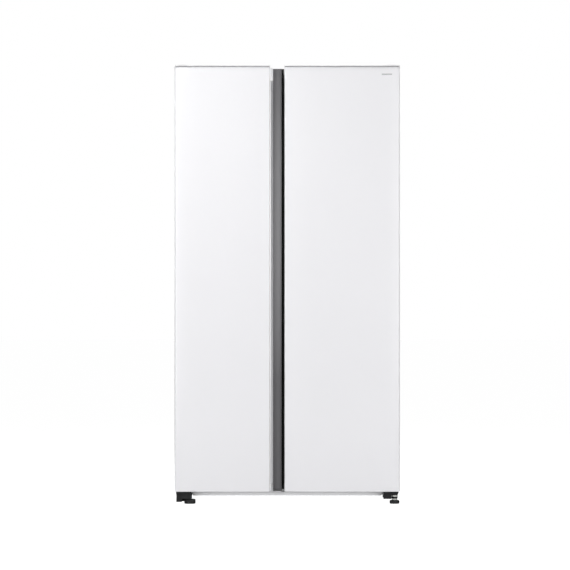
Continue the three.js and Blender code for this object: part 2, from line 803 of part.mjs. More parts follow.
const evaporatorFan = piece("evaporator_fan", fan(EVAPORATOR_FAN.radius, 16, 14, 5), blackPlastic, [
  EVAPORATOR_FAN.x,
  EVAPORATOR_FAN.y,
  EVAPORATOR_FAN.z,
]);
evaporatorFan.rotation.x = Math.PI / 2;
const condenserFan = piece("condenser_fan", fan(CONDENSER_FAN.radius, 20, 20, 5), blackPlastic, [
  CONDENSER_FAN.x,
  CONDENSER_FAN.y,
  CONDENSER_FAN.z,
]);
condenserFan.rotation.y = Math.PI / 2;
cabinet.add(evaporatorFan, condenserFan);

// Each side has a group on its hinge axis. The right one is the left one mirrored.
const sides = [
  { name: "freezer", side: 1, hand: "left", door: FREEZER_DOOR, grip: freezerGrip(), core: freezerCore() },
  { name: "fridge", side: -1, hand: "right", door: FRIDGE_DOOR, grip: fridgeGrip(), core: fridgeCore() },
];
for (const { name, side, hand, door, grip, core } of sides) {
  const axis = new THREE.Group();
  axis.position.set(-side * HINGE.x, HINGE.y, 0);
  axis.scale.x = side;
  refrigerator.add(axis);

  const isFreezer = name === "freezer";
  const ends = {
    gripBack: isFreezer ? 346 : 413,
    lipEnd: door.edge - SHEET - FIT,
    floorEnd: door.free - 2.8,
    floorTop: isFreezer ? DOOR.handleTop : DOOR.top,
  };
  axis.add(
    piece(`${name}_door_skin`, doorSkin(door), whitePaint),
    piece(`${name}_door_foam`, doorFoam(core), foam),
    piece(`${name}_door_liner`, doorLiner(door), linerPlastic),
    piece(`${name}_door_gasket`, doorGasket(door), sealRubber),
    piece(`${name}_door_handle`, prism(grip, [DOOR.handleBottom, DOOR.handleTop]), handleMetal),
    piece(`${name}_door_top_cap`, topCap(ends), whitePlastic),
    piece(`${name}_door_bottom_cap`, bottomCap(ends), whitePlastic),
    piece(`top_hinge_${hand}`, topHinge(), zincSteel),
    piece(`hinge_cover_${hand}`, hingeCover(), whitePlastic),
    piece(`bottom_hinge_${hand}`, isFreezer ? leftBottomHinge() : rightBottomHinge(), blackSteel),
  );
  BIN_LEVELS.forEach(({ bottom, height }, i) => {
    axis.add(piece(`${name}_door_bin_${i + 1}`, doorBin(door, height), clearPlastic, [0, 0, bottom]));
  });
  const foot = isFreezer ? LEFT_FOOT : RIGHT_FOOT;
  axis.add(piece(`levelling_foot_${hand}`, levellingFoot(foot), blackPlastic, [foot.u, foot.v, 0]));

  const wheelCentre = [-side * ROLLER.x, ROLLER.y, ROLLER.radius];
  const wheel = piece(`rear_roller_${hand}`, roller(), blackPlastic, wheelCentre);
  wheel.rotation.y = Math.PI / 2;
  cabinet.add(wheel);
}

export default refrigerator;
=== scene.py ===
"""A free-standing side by side refrigerator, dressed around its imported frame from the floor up."""
import math

import bmesh
import bpy
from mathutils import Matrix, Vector


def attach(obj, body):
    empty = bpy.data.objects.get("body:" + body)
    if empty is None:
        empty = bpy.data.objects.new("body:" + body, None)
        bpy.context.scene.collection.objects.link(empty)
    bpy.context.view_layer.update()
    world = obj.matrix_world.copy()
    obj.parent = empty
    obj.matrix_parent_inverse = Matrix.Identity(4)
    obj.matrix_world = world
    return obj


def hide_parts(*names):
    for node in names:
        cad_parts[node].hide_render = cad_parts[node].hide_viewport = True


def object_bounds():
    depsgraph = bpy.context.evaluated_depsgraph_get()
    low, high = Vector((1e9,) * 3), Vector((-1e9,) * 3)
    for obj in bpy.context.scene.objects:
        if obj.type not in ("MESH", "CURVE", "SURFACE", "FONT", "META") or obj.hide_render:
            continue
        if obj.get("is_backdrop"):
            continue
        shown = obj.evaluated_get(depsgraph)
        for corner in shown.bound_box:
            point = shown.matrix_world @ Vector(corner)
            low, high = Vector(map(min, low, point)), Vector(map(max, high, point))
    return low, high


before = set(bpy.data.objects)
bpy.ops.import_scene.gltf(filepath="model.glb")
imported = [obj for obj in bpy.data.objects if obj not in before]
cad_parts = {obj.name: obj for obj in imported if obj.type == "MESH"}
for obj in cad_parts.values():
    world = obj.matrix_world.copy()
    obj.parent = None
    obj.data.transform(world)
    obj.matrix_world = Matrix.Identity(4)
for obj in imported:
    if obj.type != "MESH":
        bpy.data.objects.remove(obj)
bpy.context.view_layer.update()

# ---- Base plate ----
# A tray pressed from zinc-coated steel sheet, which closes the cabinet's underside and carries
# the compressor and the rear rollers. It stays bare, so the zinc's crystal spangle shows.


class Wire:
    """A value on its way through a material's nodes. Sums on it add Math nodes."""

    def __init__(self, socket):
        self.socket = socket

    def math(self, operation, first, second):
        tree = self.socket.id_data
        node = tree.nodes.new("ShaderNodeMath")
        node.operation = operation
        plug(node.inputs[0], first)
        plug(node.inputs[1], second)
        return Wire(node.outputs[0])

    def __add__(self, other):
        return self.math("ADD", self, other)

    def __sub__(self, other):
        return self.math("SUBTRACT", self, other)

    def __rsub__(self, other):
        return self.math("SUBTRACT", other, self)

    def __mul__(self, other):
        return self.math("MULTIPLY", self, other)

    def __lt__(self, other):
        return self.math("LESS_THAN", self, other)

    __radd__ = __add__
    __rmul__ = __mul__


def plug(target, value):
    """Feeds a socket from a wire, or sets it to a number or a colour."""
    if isinstance(value, Wire):
        target.id_data.links.new(value.socket, target)
    elif target.type == "RGBA":
        target.default_value = (*value[:3], 1.0)
    else:
        target.default_value = value


class NodeTree:
    """A tree of shader nodes. One method adds every node but those of the sums."""

    def __init__(self, tree):
        self.tree = tree

    def node(self, kind, settings=(), sockets=(), out=0):
        """Adds a node. Its settings come first, then what feeds its sockets, by name or by number."""
        node = self.tree.nodes.new("ShaderNode" + kind)
        for name, value in dict(settings).items():
            setattr(node, name, value)
        for name, value in dict(sockets).items():
            plug(node.inputs[name], value)
        return Wire(node.outputs[out])

    def show(self, output, shader):
        """Sends a shader to the tree's output node."""
        plug(self.tree.nodes[output].inputs["Surface"], shader)


class Finish(NodeTree):
    """A material, and the record's slot that it stands for. Constants sit on the shader's own sockets."""

    def __init__(self, name, slot, **constants):
        self.material = bpy.data.materials.new(name)
        self.material.use_nodes = True
        super().__init__(self.material.node_tree)
        self.slot = slot
        self.shader = self.tree.nodes["Principled BSDF"]
        self.feed(**constants)

    def feed(self, **values):
        """Feeds the shader's sockets, named in lower case with underscores."""
        names = {socket.name.lower().replace(" ", "_"): socket for socket in self.shader.inputs}
        for name, value in values.items():
            plug(names[name], value)
        return self

    def at(self, stretch=(1.0, 1.0, 1.0)):
        """Where a point lies on the piece, in metres, with each axis stretched."""
        place = self.node("TexCoord", out="Object")
        return self.node("VectorMath", {"operation": "MULTIPLY"}, {0: place, 1: stretch})

    def noise(self, scale, detail=2.0, stretch=(1.0, 1.0, 1.0), roughness=0.5):
        sockets = {"Vector": self.at(stretch), "Scale": scale, "Detail": detail, "Roughness": roughness}
        return self.node("TexNoise", {}, sockets)

    def mix(self, share, low, high):
        """Mixes two colours."""
        return self.node("Mix", {"data_type": "RGBA"}, {0: share, 6: low, 7: high}, out=2)

    def bump(self, height, strength, depth):
        """Raises the surface by up to depth, in millimetres."""
        sockets = {"Height": height, "Strength": strength, "Distance": depth * 0.001}
        return self.feed(normal=self.node("Bump", {}, sockets))

    def clouded(self, patch, dark, light, rough=None):
        """Varies the colour, and where asked the roughness as (gain, least), with a patchy noise."""
        self.feed(base_color=self.mix(patch, dark, light))
        return self.feed(roughness=patch * rough[0] + rough[1]) if rough else self


def dress(names, finish, edge=0.6, segments=2):
    """Gives frame nodes a finish, and breaks their sharp edges by some tenths of a millimetre."""
    for name in names:
        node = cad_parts[name]
        for slot in node.material_slots:
            slot.material = finish.material
        weld = node.modifiers.new("weld", "WELD")
        weld.merge_threshold = 0.00002
        if edge:
            bevel = node.modifiers.new("broken_edges", "BEVEL")
            bevel.width = edge * 0.001
            bevel.segments = segments
            bevel.limit_method = "ANGLE"
            bevel.angle_limit = math.radians(40)


galvanised = Finish("galvanised_sheet", "galvanised_steel", metallic=0.85, specular_ior_level=0.5)
spangle = galvanised.node("TexVoronoi", {}, {"Vector": galvanised.at(), "Scale": 95.0}, out="Color")
grey = galvanised.node("RGBToBW", {}, {0: spangle})
cloud = galvanised.noise(6.0, 4.0)
galvanised.feed(
    base_color=galvanised.mix(grey * 0.5 + cloud * 0.5, (0.5, 0.52, 0.54), (0.72, 0.74, 0.75)),
    roughness=grey * 0.16 + cloud * 0.14 + 0.3,
)
galvanised.bump(galvanised.noise(900.0, 1.0), 0.25, 0.1)
dress(["base_frame"], galvanised, 0.5)

# ---- Rear rollers ----
# Two black nylon wheels on axle pins in the base plate's ears, on which the appliance is rolled
# out. Each has a rounded tread, a dished web and a plain bearing.


def linked(name, data):
    """A new object in the scene."""
    made = bpy.data.objects.new(name, data)
    bpy.context.scene.collection.objects.link(made)
    return made


class Shape:
    """A mesh in the making, in millimetres."""

    def __init__(self):
        self.mesh = bmesh.new()

    def skin(self, rings, mark=0, capped=True, looped=False):
        """Joins rings of points in turn. Flat faces close the ends, or the last ring meets the first."""
        rows = [[self.mesh.verts.new(Vector(point) * 0.001) for point in ring] for ring in rings]
        after = rows[1:] + rows[:1] if looped else rows[1:]
        for low, high in zip(rows, after):
            for i in range(len(low)):
                j = (i + 1) % len(low)
                self.mesh.faces.new((low[i], low[j], high[j], high[i])).material_index = mark
        if capped and not looped:
            self.mesh.faces.new(rows[0][::-1]).material_index = mark
            self.mesh.faces.new(rows[-1]).material_index = mark
        return self

    def piece(self, name, body, finishes, replaces=(), angle=32):
        """Turns the shape into a named piece that rides on a body and stands for frame nodes."""
        bmesh.ops.recalc_face_normals(self.mesh, faces=self.mesh.faces)
        data = bpy.data.meshes.new(name)
        self.mesh.to_mesh(data)
        self.mesh.free()
        for finish in finishes:
            data.materials.append(finish.material)
        data.polygons.foreach_set("use_smooth", [True] * len(data.polygons))
        data.set_sharp_from_angle(angle=math.radians(angle))
        made = linked(name, data)
        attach(made, body)
        if replaces:
            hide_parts(*replaces)
        return made


# How a point of an outline, and its height, stand when the form's axis is x, y or z.
AXES = {
    "x": lambda a, b, h: (h, a, b),
    "y": lambda a, b, h: (a, h, b),
    "z": lambda a, b, h: (a, b, h),
}


def turned(profile, centre, axis="z", sides=40, ribs=0, rib_depth=0.0):
    """Rings about an axis from a profile of (radius, height, ribbed), with vertical ribs where asked."""
    rings = []
    for radius, height, *ribbed in profile:
        ring = []
        for i in range(sides):
            angle = math.tau * i / sides
            wave = (1 - math.cos(angle * ribs)) / 2 * rib_depth if ribbed and ribbed[0] else 0.0
            reach = radius - wave
            point = AXES[axis](reach * math.cos(angle), reach * math.sin(angle), height)
            ring.append([c + p for c, p in zip(centre, point)])
        rings.append(ring)
    return rings


black_nylon = Finish("black_nylon", "black_plastic", roughness=0.42, specular_ior_level=0.25)
black_nylon.clouded(black_nylon.noise(60.0, 4.0), (0.008, 0.008, 0.009), (0.022, 0.022, 0.024))
black_nylon.bump(black_nylon.noise(1500.0, 2.0), 0.3, 0.08)

ROLLER_PROFILE = [
    (4.6, -8), (8, -8), (9, -5), (17, -5), (18, -8), (20.5, -8), (21.6, -6.6), (22, -4),
    (22, 4), (21.6, 6.6), (20.5, 8), (18, 8), (17, 5), (9, 5), (8, 8), (4.6, 8),
]
for hand, x in (("left", -406), ("right", 406)):
    wheel = Shape().skin(turned(ROLLER_PROFILE, (x, 300, 22), "x", 48), looped=True)
    wheel.piece(f"roller_{hand}", f"rear_roller_{hand}_body", [black_nylon], [f"rear_roller_{hand}"])

# ---- Levelling feet ----
# A knurled black plastic disc moulded on a zinc-plated stud, which screws up and down in the
# bracket above it. The right foot has a nut on its stud and a lock nut between washers.

zinc = Finish("zinc_plate", "zinc_steel", metallic=0.9, specular_ior_level=0.5)
zinc.clouded(zinc.noise(45.0, 3.0), (0.62, 0.63, 0.6), (0.8, 0.8, 0.78), (0.2, 0.22))
zinc.bump(zinc.noise(700.0, 2.0), 0.2, 0.05)


def foot(x, y, radius, height):
    """A foot's disc with its collar, and a stud whose thread is cut as closely spaced grooves."""
    shape = Shape()
    disc = [
        (radius - 5, 0), (radius - 2.2, 0.5), (radius - 0.8, 1.8), (radius - 0.2, 3.6),
        (radius, 5, True), (radius, height - 4, True), (radius - 0.5, height - 2, True),
        (radius - 1.8, height - 0.5), (radius - 3.4, height), (9.5, height), (9, height + 0.5),
        (9, height + 2.5), (8.5, height + 3), (4.4, height + 3),
    ]
    shape.skin(turned(disc, (x, y, 0), sides=144, ribs=36, rib_depth=0.9))
    turns = int((46.5 - height - 3) / 1.25)
    thread = [(4.5 if k % 2 else 3.9, height + 3 + k * 0.625) for k in range(2 * turns)]
    shape.skin(turned(thread + [(3.6, 46.8)], (x, y, 0), sides=24), mark=1)
    return shape


LEFT_STUD, RIGHT_STUD = (-395, -275), (435.6, -270)
foot(*LEFT_STUD, 23, 20).piece(
    "foot_left", "levelling_foot_left_body", [black_nylon, zinc], ["levelling_foot_left"])
foot(*RIGHT_STUD, 20, 15).piece(
    "foot_right", "levelling_foot_right_body", [black_nylon, zinc], ["levelling_foot_right"])


def hexagon(x, y, bottom, top, across=17.0, bore=5.3):
    """A nut's six-sided rings with chamfered corners, from its bore out and back to it."""
    corner = across / math.sqrt(3)
    chamfer, flat = 0.8, corner - 1.4
    profile = [
        (bore, bottom), (flat, bottom), (corner, bottom + chamfer), (corner, top - chamfer), (flat, top),
        (bore, top)]
    return turned(profile, (x, y, 0), sides=6)


Shape().skin(hexagon(*RIGHT_STUD, 27.8, 35.4, 20), looped=True).piece("lock_nut_right", "cabinet", [zinc])
Shape().skin(hexagon(*RIGHT_STUD, 15.2, 21.2, 20), looped=True).piece(
    "stud_nut_right", "levelling_foot_right_body", [zinc])
washers = Shape()
for low, high in ((21.4, 27.6), (35.6, 40.2)):
    washer = [(5, low), (12, low), (13, low + 1), (13, high - 1), (12, high), (5, high)]
    washers.skin(turned(washer, (*RIGHT_STUD, 0)), looped=True)
washers.piece("lock_washers_right", "cabinet", [black_nylon])

# ---- Bottom hinges ----
# Brackets of black coated steel plate, screwed to the cabinet's front edge under each door. The
# hinge pin stands on the plate, and a skid or housing below it takes the levelling stud.

black_coat = Finish("black_coating", "black_steel", roughness=0.38, specular_ior_level=0.2)
speck = black_coat.noise(300.0, 3.0)
black_coat.clouded(speck, (0.006, 0.006, 0.007), (0.02, 0.02, 0.022), (0.2, 0.3))
black_coat.bump(speck, 0.35, 0.12)
dress(["bottom_hinge_left", "bottom_hinge_right"], black_coat, 1.2, 3)


def screw_heads(name, body, places, finish, radius=4.5, height=1.6):
    """Pan-head screws with a cross recess. Each place is a point on the face and the way it looks."""
    shape = Shape()
    for point, facing in places:
        turn = Vector((0, 0, 1)).rotation_difference(Vector(facing)).to_matrix()
        dome = [(radius, 0), (radius, height * 0.35), (radius * 0.86, height * 0.75), (radius * 0.6, height)]
        rings = turned(dome, (0, 0, 0), sides=20)
        rings.append(cross(radius * 0.42, height))
        rings.append(cross(radius * 0.38, height * 0.35))
        shape.skin([[Vector(point) + turn @ Vector(p) for p in ring] for ring in rings])
    return shape.piece(name, body, [finish], angle=40)


def cross(reach, height):
    """The rim of a cross recess, with as many points as the screw head's rings."""
    arm = reach * 0.28
    quarter = [(reach, -arm), (reach, 0), (reach, arm), (arm * 1.2, arm * 1.2), (arm, reach * 0.7)]
    points = []
    for k in range(4):
        c, s = math.cos(k * math.pi / 2), math.sin(k * math.pi / 2)
        points += [(x * c - y * s, x * s + y * c, height) for x, y in quarter]
    return points


screw_heads(
    "bottom_hinge_screws",
    "cabinet",
    [((side * x, -255.4, 66), (0, -1, 0)) for side in (-1, 1) for x in (398, 414)],
    zinc,
    3.6,
    1.4,
)

# ---- Bottom rail ----
# A light grey moulded rail clipped across the cabinet's foot, just under the doors, between the
# two brackets. Its front leans back a little and turns in. A black cheek stands behind each bracket.

grey_trim = Finish("light_grey_trim", "grey_trim", roughness=0.45, specular_ior_level=0.4)
grey_trim.clouded(grey_trim.noise(25.0, 3.0), (0.92, 0.92, 0.93), (0.95, 0.95, 0.96))
grey_trim.bump(grey_trim.noise(1200.0, 1.0), 0.2, 0.05)
RAIL = [
    (-257.3, 33.5, 2), (-257.9, 48, 1.5), (-254.5, 50, 1), (-252.5, 50), (-252.5, 48.4), (-255.6, 48.2, 1),
    (-255.3, 34.6, 1), (-247, 33.2), (-247, 31.5), (-255, 31.5, 2)]


def rounded(corners, steps=5):
    """A closed outline's points from corners (x, y, radius). A corner with no radius stays sharp."""
    points = []
    for i, (x, y, *rest) in enumerate(corners):
        here = Vector((x, y))
        if not rest or not rest[0]:
            points.append(here)
            continue
        back = (Vector(corners[i - 1][:2]) - here).normalized()
        on = (Vector(corners[(i + 1) % len(corners)][:2]) - here).normalized()
        half = back.angle(on) / 2
        centre = here + (back + on).normalized() * rest[0] / math.sin(half)
        reach = rest[0] / math.tan(half)
        start, end = here + back * reach - centre, here + on * reach - centre
        first, last = math.atan2(start.y, start.x), math.atan2(end.y, end.x)
        sweep = (last - first + math.pi) % math.tau - math.pi
        for k in range(steps + 1):
            angle = first + sweep * k / steps
            points.append(centre + Vector((math.cos(angle), math.sin(angle))) * rest[0])
    return points


def rectangle(x0, x1, y0, y1, radius=0.0, steps=5):
    return rounded([(x0, y0, radius), (x1, y0, radius), (x1, y1, radius), (x0, y1, radius)], steps)


def inset(points, distance):
    """An outline moved inwards."""
    if not distance:
        return points
    area = sum(p.cross(q) for p, q in zip(points, points[1:] + points[:1]))
    turn = 1 if area > 0 else -1
    moved = []
    for before, here, after in zip(points[-1:] + points[:-1], points, points[1:] + points[:1]):
        a, b = (here - before).normalized(), (after - here).normalized()
        normal = Vector((-a.y - b.y, a.x + b.x)).normalized() * turn
        share = normal.dot(Vector((-a.y, a.x)) * turn)
        moved.append(here + normal * distance / max(share, 0.35))
    return moved


def rings(outline, profile, place=AXES["z"]):
    """An outline repeated for each (inset, height) of a profile."""
    return [[place(p.x, p.y, height) for p in inset(outline, depth)] for depth, height in profile]


def slab(low, high, edge):
    """A profile for a solid between two heights with rounded rims."""
    quarter = [math.radians(a) for a in (0, 30, 60, 90)]
    lower = [(edge - edge * math.sin(a), low + edge - edge * math.cos(a)) for a in quarter]
    upper = [(edge - edge * math.cos(a), high - edge + edge * math.sin(a)) for a in quarter]
    return lower + upper


Shape().skin(rings(rounded(RAIL, 3), slab(-384, 384, 0.6), AXES["x"])).piece(
    "bottom_rail", "cabinet", [grey_trim], ["front_rail"])
for hand, (x0, x1, z0, z1) in {"left": (-438, -409, 9, 32), "right": (415, 449.5, 24, 40.3)}.items():
    cheek = Shape().skin(rings(rectangle(x0, x1, z0, z1, 3), slab(-255.2, -252.6, 0.4), AXES["y"]))
    cheek.piece(f"{hand}_bracket_cheek", "cabinet", [black_coat])

# ---- Cabinet wrapper ----
# One steel sheet folded over the top and down both sides, painted white before it is folded,
# with a fine stucco grain that hides marks.

cabinet_white = Finish("cabinet_paint", "white_painted_steel", roughness=0.36, specular_ior_level=0.5)
cloud = cabinet_white.noise(3.0, 3.0)
cabinet_white.clouded(cloud, (0.855, 0.855, 0.87), (0.875, 0.875, 0.89), (0.06, 0.33))
stucco = cabinet_white.noise(420.0, 3.0, (1.0, 1.0, 0.7))
cabinet_white.bump(stucco, 0.35, 0.35)
dress(["cabinet_shell"], cabinet_white, 1.4, 4)

# ---- Back panel ----
# A flat zinc-coated sheet that closes the back over the foam, stiffened by shallow pressed beads
# and screwed round its edge.

back_steel = Finish("back_sheet", "galvanised_steel", metallic=0.8, specular_ior_level=0.5)
spangle = back_steel.node("TexVoronoi", {}, {"Vector": back_steel.at(), "Scale": 70.0}, out="Color")
grey = back_steel.node("RGBToBW", {}, {0: spangle})
streak = back_steel.noise(7.0, 4.0, (3.0, 1.0, 0.4))
back_steel.feed(
    base_color=back_steel.mix(grey * 0.45 + streak * 0.55, (0.5, 0.52, 0.54), (0.7, 0.72, 0.735)),
    roughness=grey * 0.14 + streak * 0.16 + 0.32,
)
back_steel.bump(back_steel.noise(800.0, 1.0), 0.25, 0.1)


def beaded_panel(x0, x1, z0, z1, beads, face, thickness):
    """A panel facing the back, with its faces split along the beads' edges and the beads pressed in."""
    xs = sorted({x0, x1, *(v for b in beads for x in (b[0], b[1]) for v in (x - 2, x + 2))})
    zs = sorted({z0, z1, *(v for b in beads for z in (b[2], b[3]) for v in (z - 2, z + 2))})
    pressed = 1.2

    def height(x, z):
        for b0, b1, b2, b3 in beads:
            if b0 < x < b1 and b2 < z < b3:
                return face - pressed
        return face

    shape = Shape()
    front = [[shape.mesh.verts.new(Vector((x, height(x, z), z)) * 0.001) for x in xs] for z in zs]
    back = [[shape.mesh.verts.new(Vector((x, height(x, z) - thickness, z)) * 0.001) for x in xs] for z in zs]
    for grid in (front, back):
        for lower, upper in zip(grid, grid[1:]):
            for i in range(len(xs) - 1):
                shape.mesh.faces.new((lower[i], lower[i + 1], upper[i + 1], upper[i]))
    edges = [
        (front[0], back[0]),
        (front[-1], back[-1]),
        ([row[0] for row in front], [row[0] for row in back]),
        ([row[-1] for row in front], [row[-1] for row in back]),
    ]
    for near, far in edges:
        for i in range(len(near) - 1):
            shape.mesh.faces.new((near[i], near[i + 1], far[i + 1], far[i]))
    return shape


PANEL_FACE = 357.7
bead_rows = [(-380, 380, z, z + 14) for z in (560, 860, 1160, 1460)]
bead_frame = [(-420, -406, 360, 1690), (406, 420, 360, 1690)]
beaded_panel(-452.5, 452.5, 298.3, 1742.5, bead_rows + bead_frame, PANEL_FACE, 1.45).piece(
    "back_sheet", "cabinet", [back_steel], ["back_panel"], angle=8)
screw_heads(
    "back_panel_screws",
    "cabinet",
    [((x, PANEL_FACE - 0.9, z), (0, 1, 0)) for x in (-438, 438) for z in range(330, 1740, 232)]
    + [((x, PANEL_FACE - 0.9, 1722), (0, 1, 0)) for x in (-292, -146, 0, 146, 292)],
    zinc,
    4.2,
    1.15,
)

# ---- Machine room cover ----
# A zinc-coated sheet over the machine room at the foot of the back, with rows of slots for the
# condenser's air and a hole for the mains inlet.

dress(["machine_cover"], back_steel, 0.3, 1)

# ---- Compressor ----
# A hermetic motor and pump in a deep-drawn steel shell, welded round its middle and enamelled
# black. It stands on rubber bushes, and copper pipes run from it.

enamel = Finish("black_enamel", "compressor_paint", roughness=0.25, coat_weight=0.4)
enamel.clouded(enamel.noise(30.0, 3.0), (0.006, 0.006, 0.007), (0.016, 0.016, 0.018), (0.15, 0.2))
enamel.bump(enamel.noise(180.0, 2.0), 0.3, 0.15)
bush_rubber = Finish("bush_rubber", "black_plastic", roughness=0.7, specular_ior_level=0.3)
matt = bush_rubber.noise(200.0, 3.0)
bush_rubber.clouded(matt, (0.012, 0.012, 0.012), (0.03, 0.03, 0.03))
bush_rubber.bump(matt, 0.4, 0.2)

PUMP = (270, 250, 40)
compressor = Shape()
compressor.skin(turned([
    (40, 24), (58, 25), (66, 30), (71, 40), (73.2, 56), (73.5, 88), (77, 89), (77.6, 92), (77, 95),
    (73.5, 96), (73, 124), (70, 142), (62, 158), (48, 170), (30, 177), (12, 180), (4, 180.5),
], PUMP, sides=64))
feet_plate = rectangle(PUMP[0] - 95, PUMP[0] + 95, PUMP[1] - 62, PUMP[1] + 62, 16)
compressor.skin(rings(feet_plate, slab(PUMP[2] + 19, PUMP[2] + 23, 1)))
for dx, dy in ((-82, -50), (82, -50), (82, 50), (-82, 50)):
    bush = [(9, 0.5), (11.5, 1.5), (12, 4), (9.5, 6), (9.5, 12), (12, 14), (11.5, 18.6), (8, 19)]
    compressor.skin(turned(bush, (PUMP[0] + dx, PUMP[1] + dy, PUMP[2]), sides=28), mark=1)
    nut = hexagon(PUMP[0] + dx, PUMP[1] + dy, PUMP[2] + 23, PUMP[2] + 29, 13, 1.0)
    compressor.skin(nut, mark=2)
terminals = rectangle(PUMP[1] - 28, PUMP[1] + 28, PUMP[2] + 60, PUMP[2] + 120, 6)
compressor.skin(rings(terminals, slab(PUMP[0] + 60, PUMP[0] + 92, 3), AXES["x"]), mark=3)
compressor.piece("compressor_shell", "cabinet", [enamel, bush_rubber, zinc, black_nylon], ["compressor"])

copper = Finish("copper_pipe", "aluminium_fins", metallic=1.0)
copper.clouded(copper.noise(18.0, 5.0), (0.55, 0.24, 0.13), (0.86, 0.46, 0.29), (0.3, 0.18))


def pipe(name, body, points, radius, finish):
    """A bent tube through points, in millimetres."""
    curve = bpy.data.curves.new(name, "CURVE")
    curve.dimensions = "3D"
    curve.bevel_depth = radius * 0.001
    curve.bevel_resolution = 3
    curve.resolution_u = 8
    curve.use_fill_caps = True
    spline = curve.splines.new("BEZIER")
    spline.bezier_points.add(len(points) - 1)
    for knot, point in zip(spline.bezier_points, points):
        knot.co = Vector(point) * 0.001
        knot.handle_left_type = knot.handle_right_type = "AUTO"
    curve.materials.append(finish.material)
    made = linked(name, curve)
    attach(made, body)
    return made


pipe("suction_pipe", "cabinet", [
    (205, 225, 150), (188, 215, 160), (172, 205, 200), (168, 190, 250), (168, 175, 284)], 4.5, copper)
pipe("discharge_pipe", "cabinet", [
    (206, 275, 110), (180, 285, 100), (120, 320, 80), (20, 335, 66), (-40, 338, 62), (-130, 330, 66),
    (-146, 322, 90)], 3.2, copper)
pipe("liquid_pipe", "cabinet", [
    (-146, 190, 230), (-120, 176, 262), (-40, 172, 270), (60, 172, 262), (96, 180, 230)], 3.2, copper)
drier = Shape().skin(turned([
    (3.4, 128), (5, 134), (9, 144), (9.6, 150), (9.6, 206), (9, 212), (5, 222), (3.4, 230)],
    (96, 180, 0), sides=28))
drier.piece("filter_drier", "cabinet", [copper])
pipe("capillary", "cabinet", [
    (96, 180, 128), (100, 184, 112), (118, 196, 104), (136, 200, 124), (128, 190, 146), (112, 184, 130),
    (120, 190, 108), (142, 196, 130), (150, 186, 200), (156, 176, 284)], 1.2, copper)

# ---- Condenser ----
# A serpentine tube through pressed aluminium fins, with copper bends brazed on at both ends. The
# fan draws the room's air through it.

fin_metal = Finish("fin_aluminium", "aluminium_fins", metallic=0.95)
fin_metal.clouded(fin_metal.noise(14.0, 4.0), (0.62, 0.63, 0.64), (0.82, 0.83, 0.84), (0.25, 0.22))
fin_metal.bump(fin_metal.noise(300.0, 2.0, (1.0, 1.0, 4.0)), 0.3, 0.1)
dress(["condenser"], fin_metal, 0)
bends = Shape()
for y, flip in ((333.5, 1), (168.5, -1)):
    for x in (-340, -261, -182):
        low, high = 100, 220
        ring_path = []
        for k in range(13):
            angle = math.pi * k / 12
            ring_path.append((y + flip * 9 * math.sin(angle), (low + high) / 2 - 60 * math.cos(angle)))
        tube = []
        for k, (py, pz) in enumerate(ring_path):
            before, after = ring_path[max(k - 1, 0)], ring_path[min(k + 1, 12)]
            along = Vector((after[0] - before[0], after[1] - before[1])).normalized()
            tube.append([
                (x + 3.6 * math.cos(a), py - along.y * 3.6 * math.sin(a), pz + along.x * 3.6 * math.sin(a))
                for a in (math.tau * i / 12 for i in range(12))
            ])
        bends.skin(tube)
bends.piece("condenser_bends", "cabinet", [copper])

# ---- Condenser fan ----
# A motor on a black moulded shroud drives a five-bladed fan that turns on a fixed pin. The hub
# and its swept, twisted blades are one moulding.

moulded_black = Finish("moulded_black", "black_plastic", roughness=0.45, specular_ior_level=0.4)
moulded_black.clouded(moulded_black.noise(90.0, 3.0), (0.012, 0.012, 0.013), (0.026, 0.026, 0.028))
moulded_black.bump(moulded_black.noise(1300.0, 2.0), 0.35, 0.08)
dress(["fan_shroud"], moulded_black, 0.5)


def fan_blades(centre, axis, radius, hub, bore, width, count, pitch):
    """A hub with a bore and swept, twisted blades, in rings across each blade's root to tip."""
    shape = Shape()
    half = width / 2
    shape.skin(turned([
        (bore, -half), (hub - 1.5, -half), (hub, 1.5 - half), (hub, half - 1.5), (hub - 1.5, half),
        (bore, half),
    ], centre, axis, 36), looped=True)
    for blade in range(count):
        sections = []
        for k in range(7):
            share = k / 6
            reach = hub - 1 + (radius - hub + 1) * share
            chord = 0.46 + 0.16 * share
            tilt = math.radians(pitch - 8 * share)
            sweep = math.tau * blade / count + 0.35 * share * share
            ring = []
            for side in (1, -1):
                for m in range(7):
                    across = (m / 6 - 0.5) * side
                    camber = (0.25 - across * across) * 2.6
                    thick = 0.75 * side * (1.02 - abs(across) * 1.6)
                    height = math.sin(tilt) * across * chord * reach * 0.9 + camber + thick
                    angle = sweep + across * chord * math.cos(tilt)
                    point = AXES[axis](reach * math.cos(angle), reach * math.sin(angle), height)
                    ring.append([c + p for c, p in zip(centre, point)])
            sections.append(ring)
        shape.skin(sections)
    return shape


fan_blades((-82, 252, 165), "x", 65, 20, 4.6, 18, 5, 24).piece(
    "condenser_blades", "condenser_fan_body", [moulded_black], ["condenser_fan"])

# ---- Mains inlet ----
# A black moulded gland, snapped into the machine room's cover, where the supply lead goes in. Its
# bore is open.

dress(["power_inlet"], moulded_black, 0.6)

# ---- Insulation ----
# Rigid foam that is poured between the steel and the liners and sets as closed yellow cells. It
# shows only round the machine room.

foam = Finish("poured_foam", "insulation_foam", roughness=0.95, specular_ior_level=0.1)
cells = foam.node("TexVoronoi", {}, {"Vector": foam.at(), "Scale": 420.0}, out="Distance")
stain = foam.noise(5.0, 5.0)
foam.clouded(stain, (0.62, 0.5, 0.24), (0.76, 0.66, 0.4))
foam.bump(cells + stain * 2.0, 0.6, 0.6)
dress(["cabinet_foam", "freezer_door_foam", "fridge_door_foam"], foam, 0)

# ---- Liners ----
# Each compartment is one sheet of white high-impact plastic, drawn into a mould with generous
# corner radii and a step over the machine room. Ribs on its side walls carry shelves and drawers.

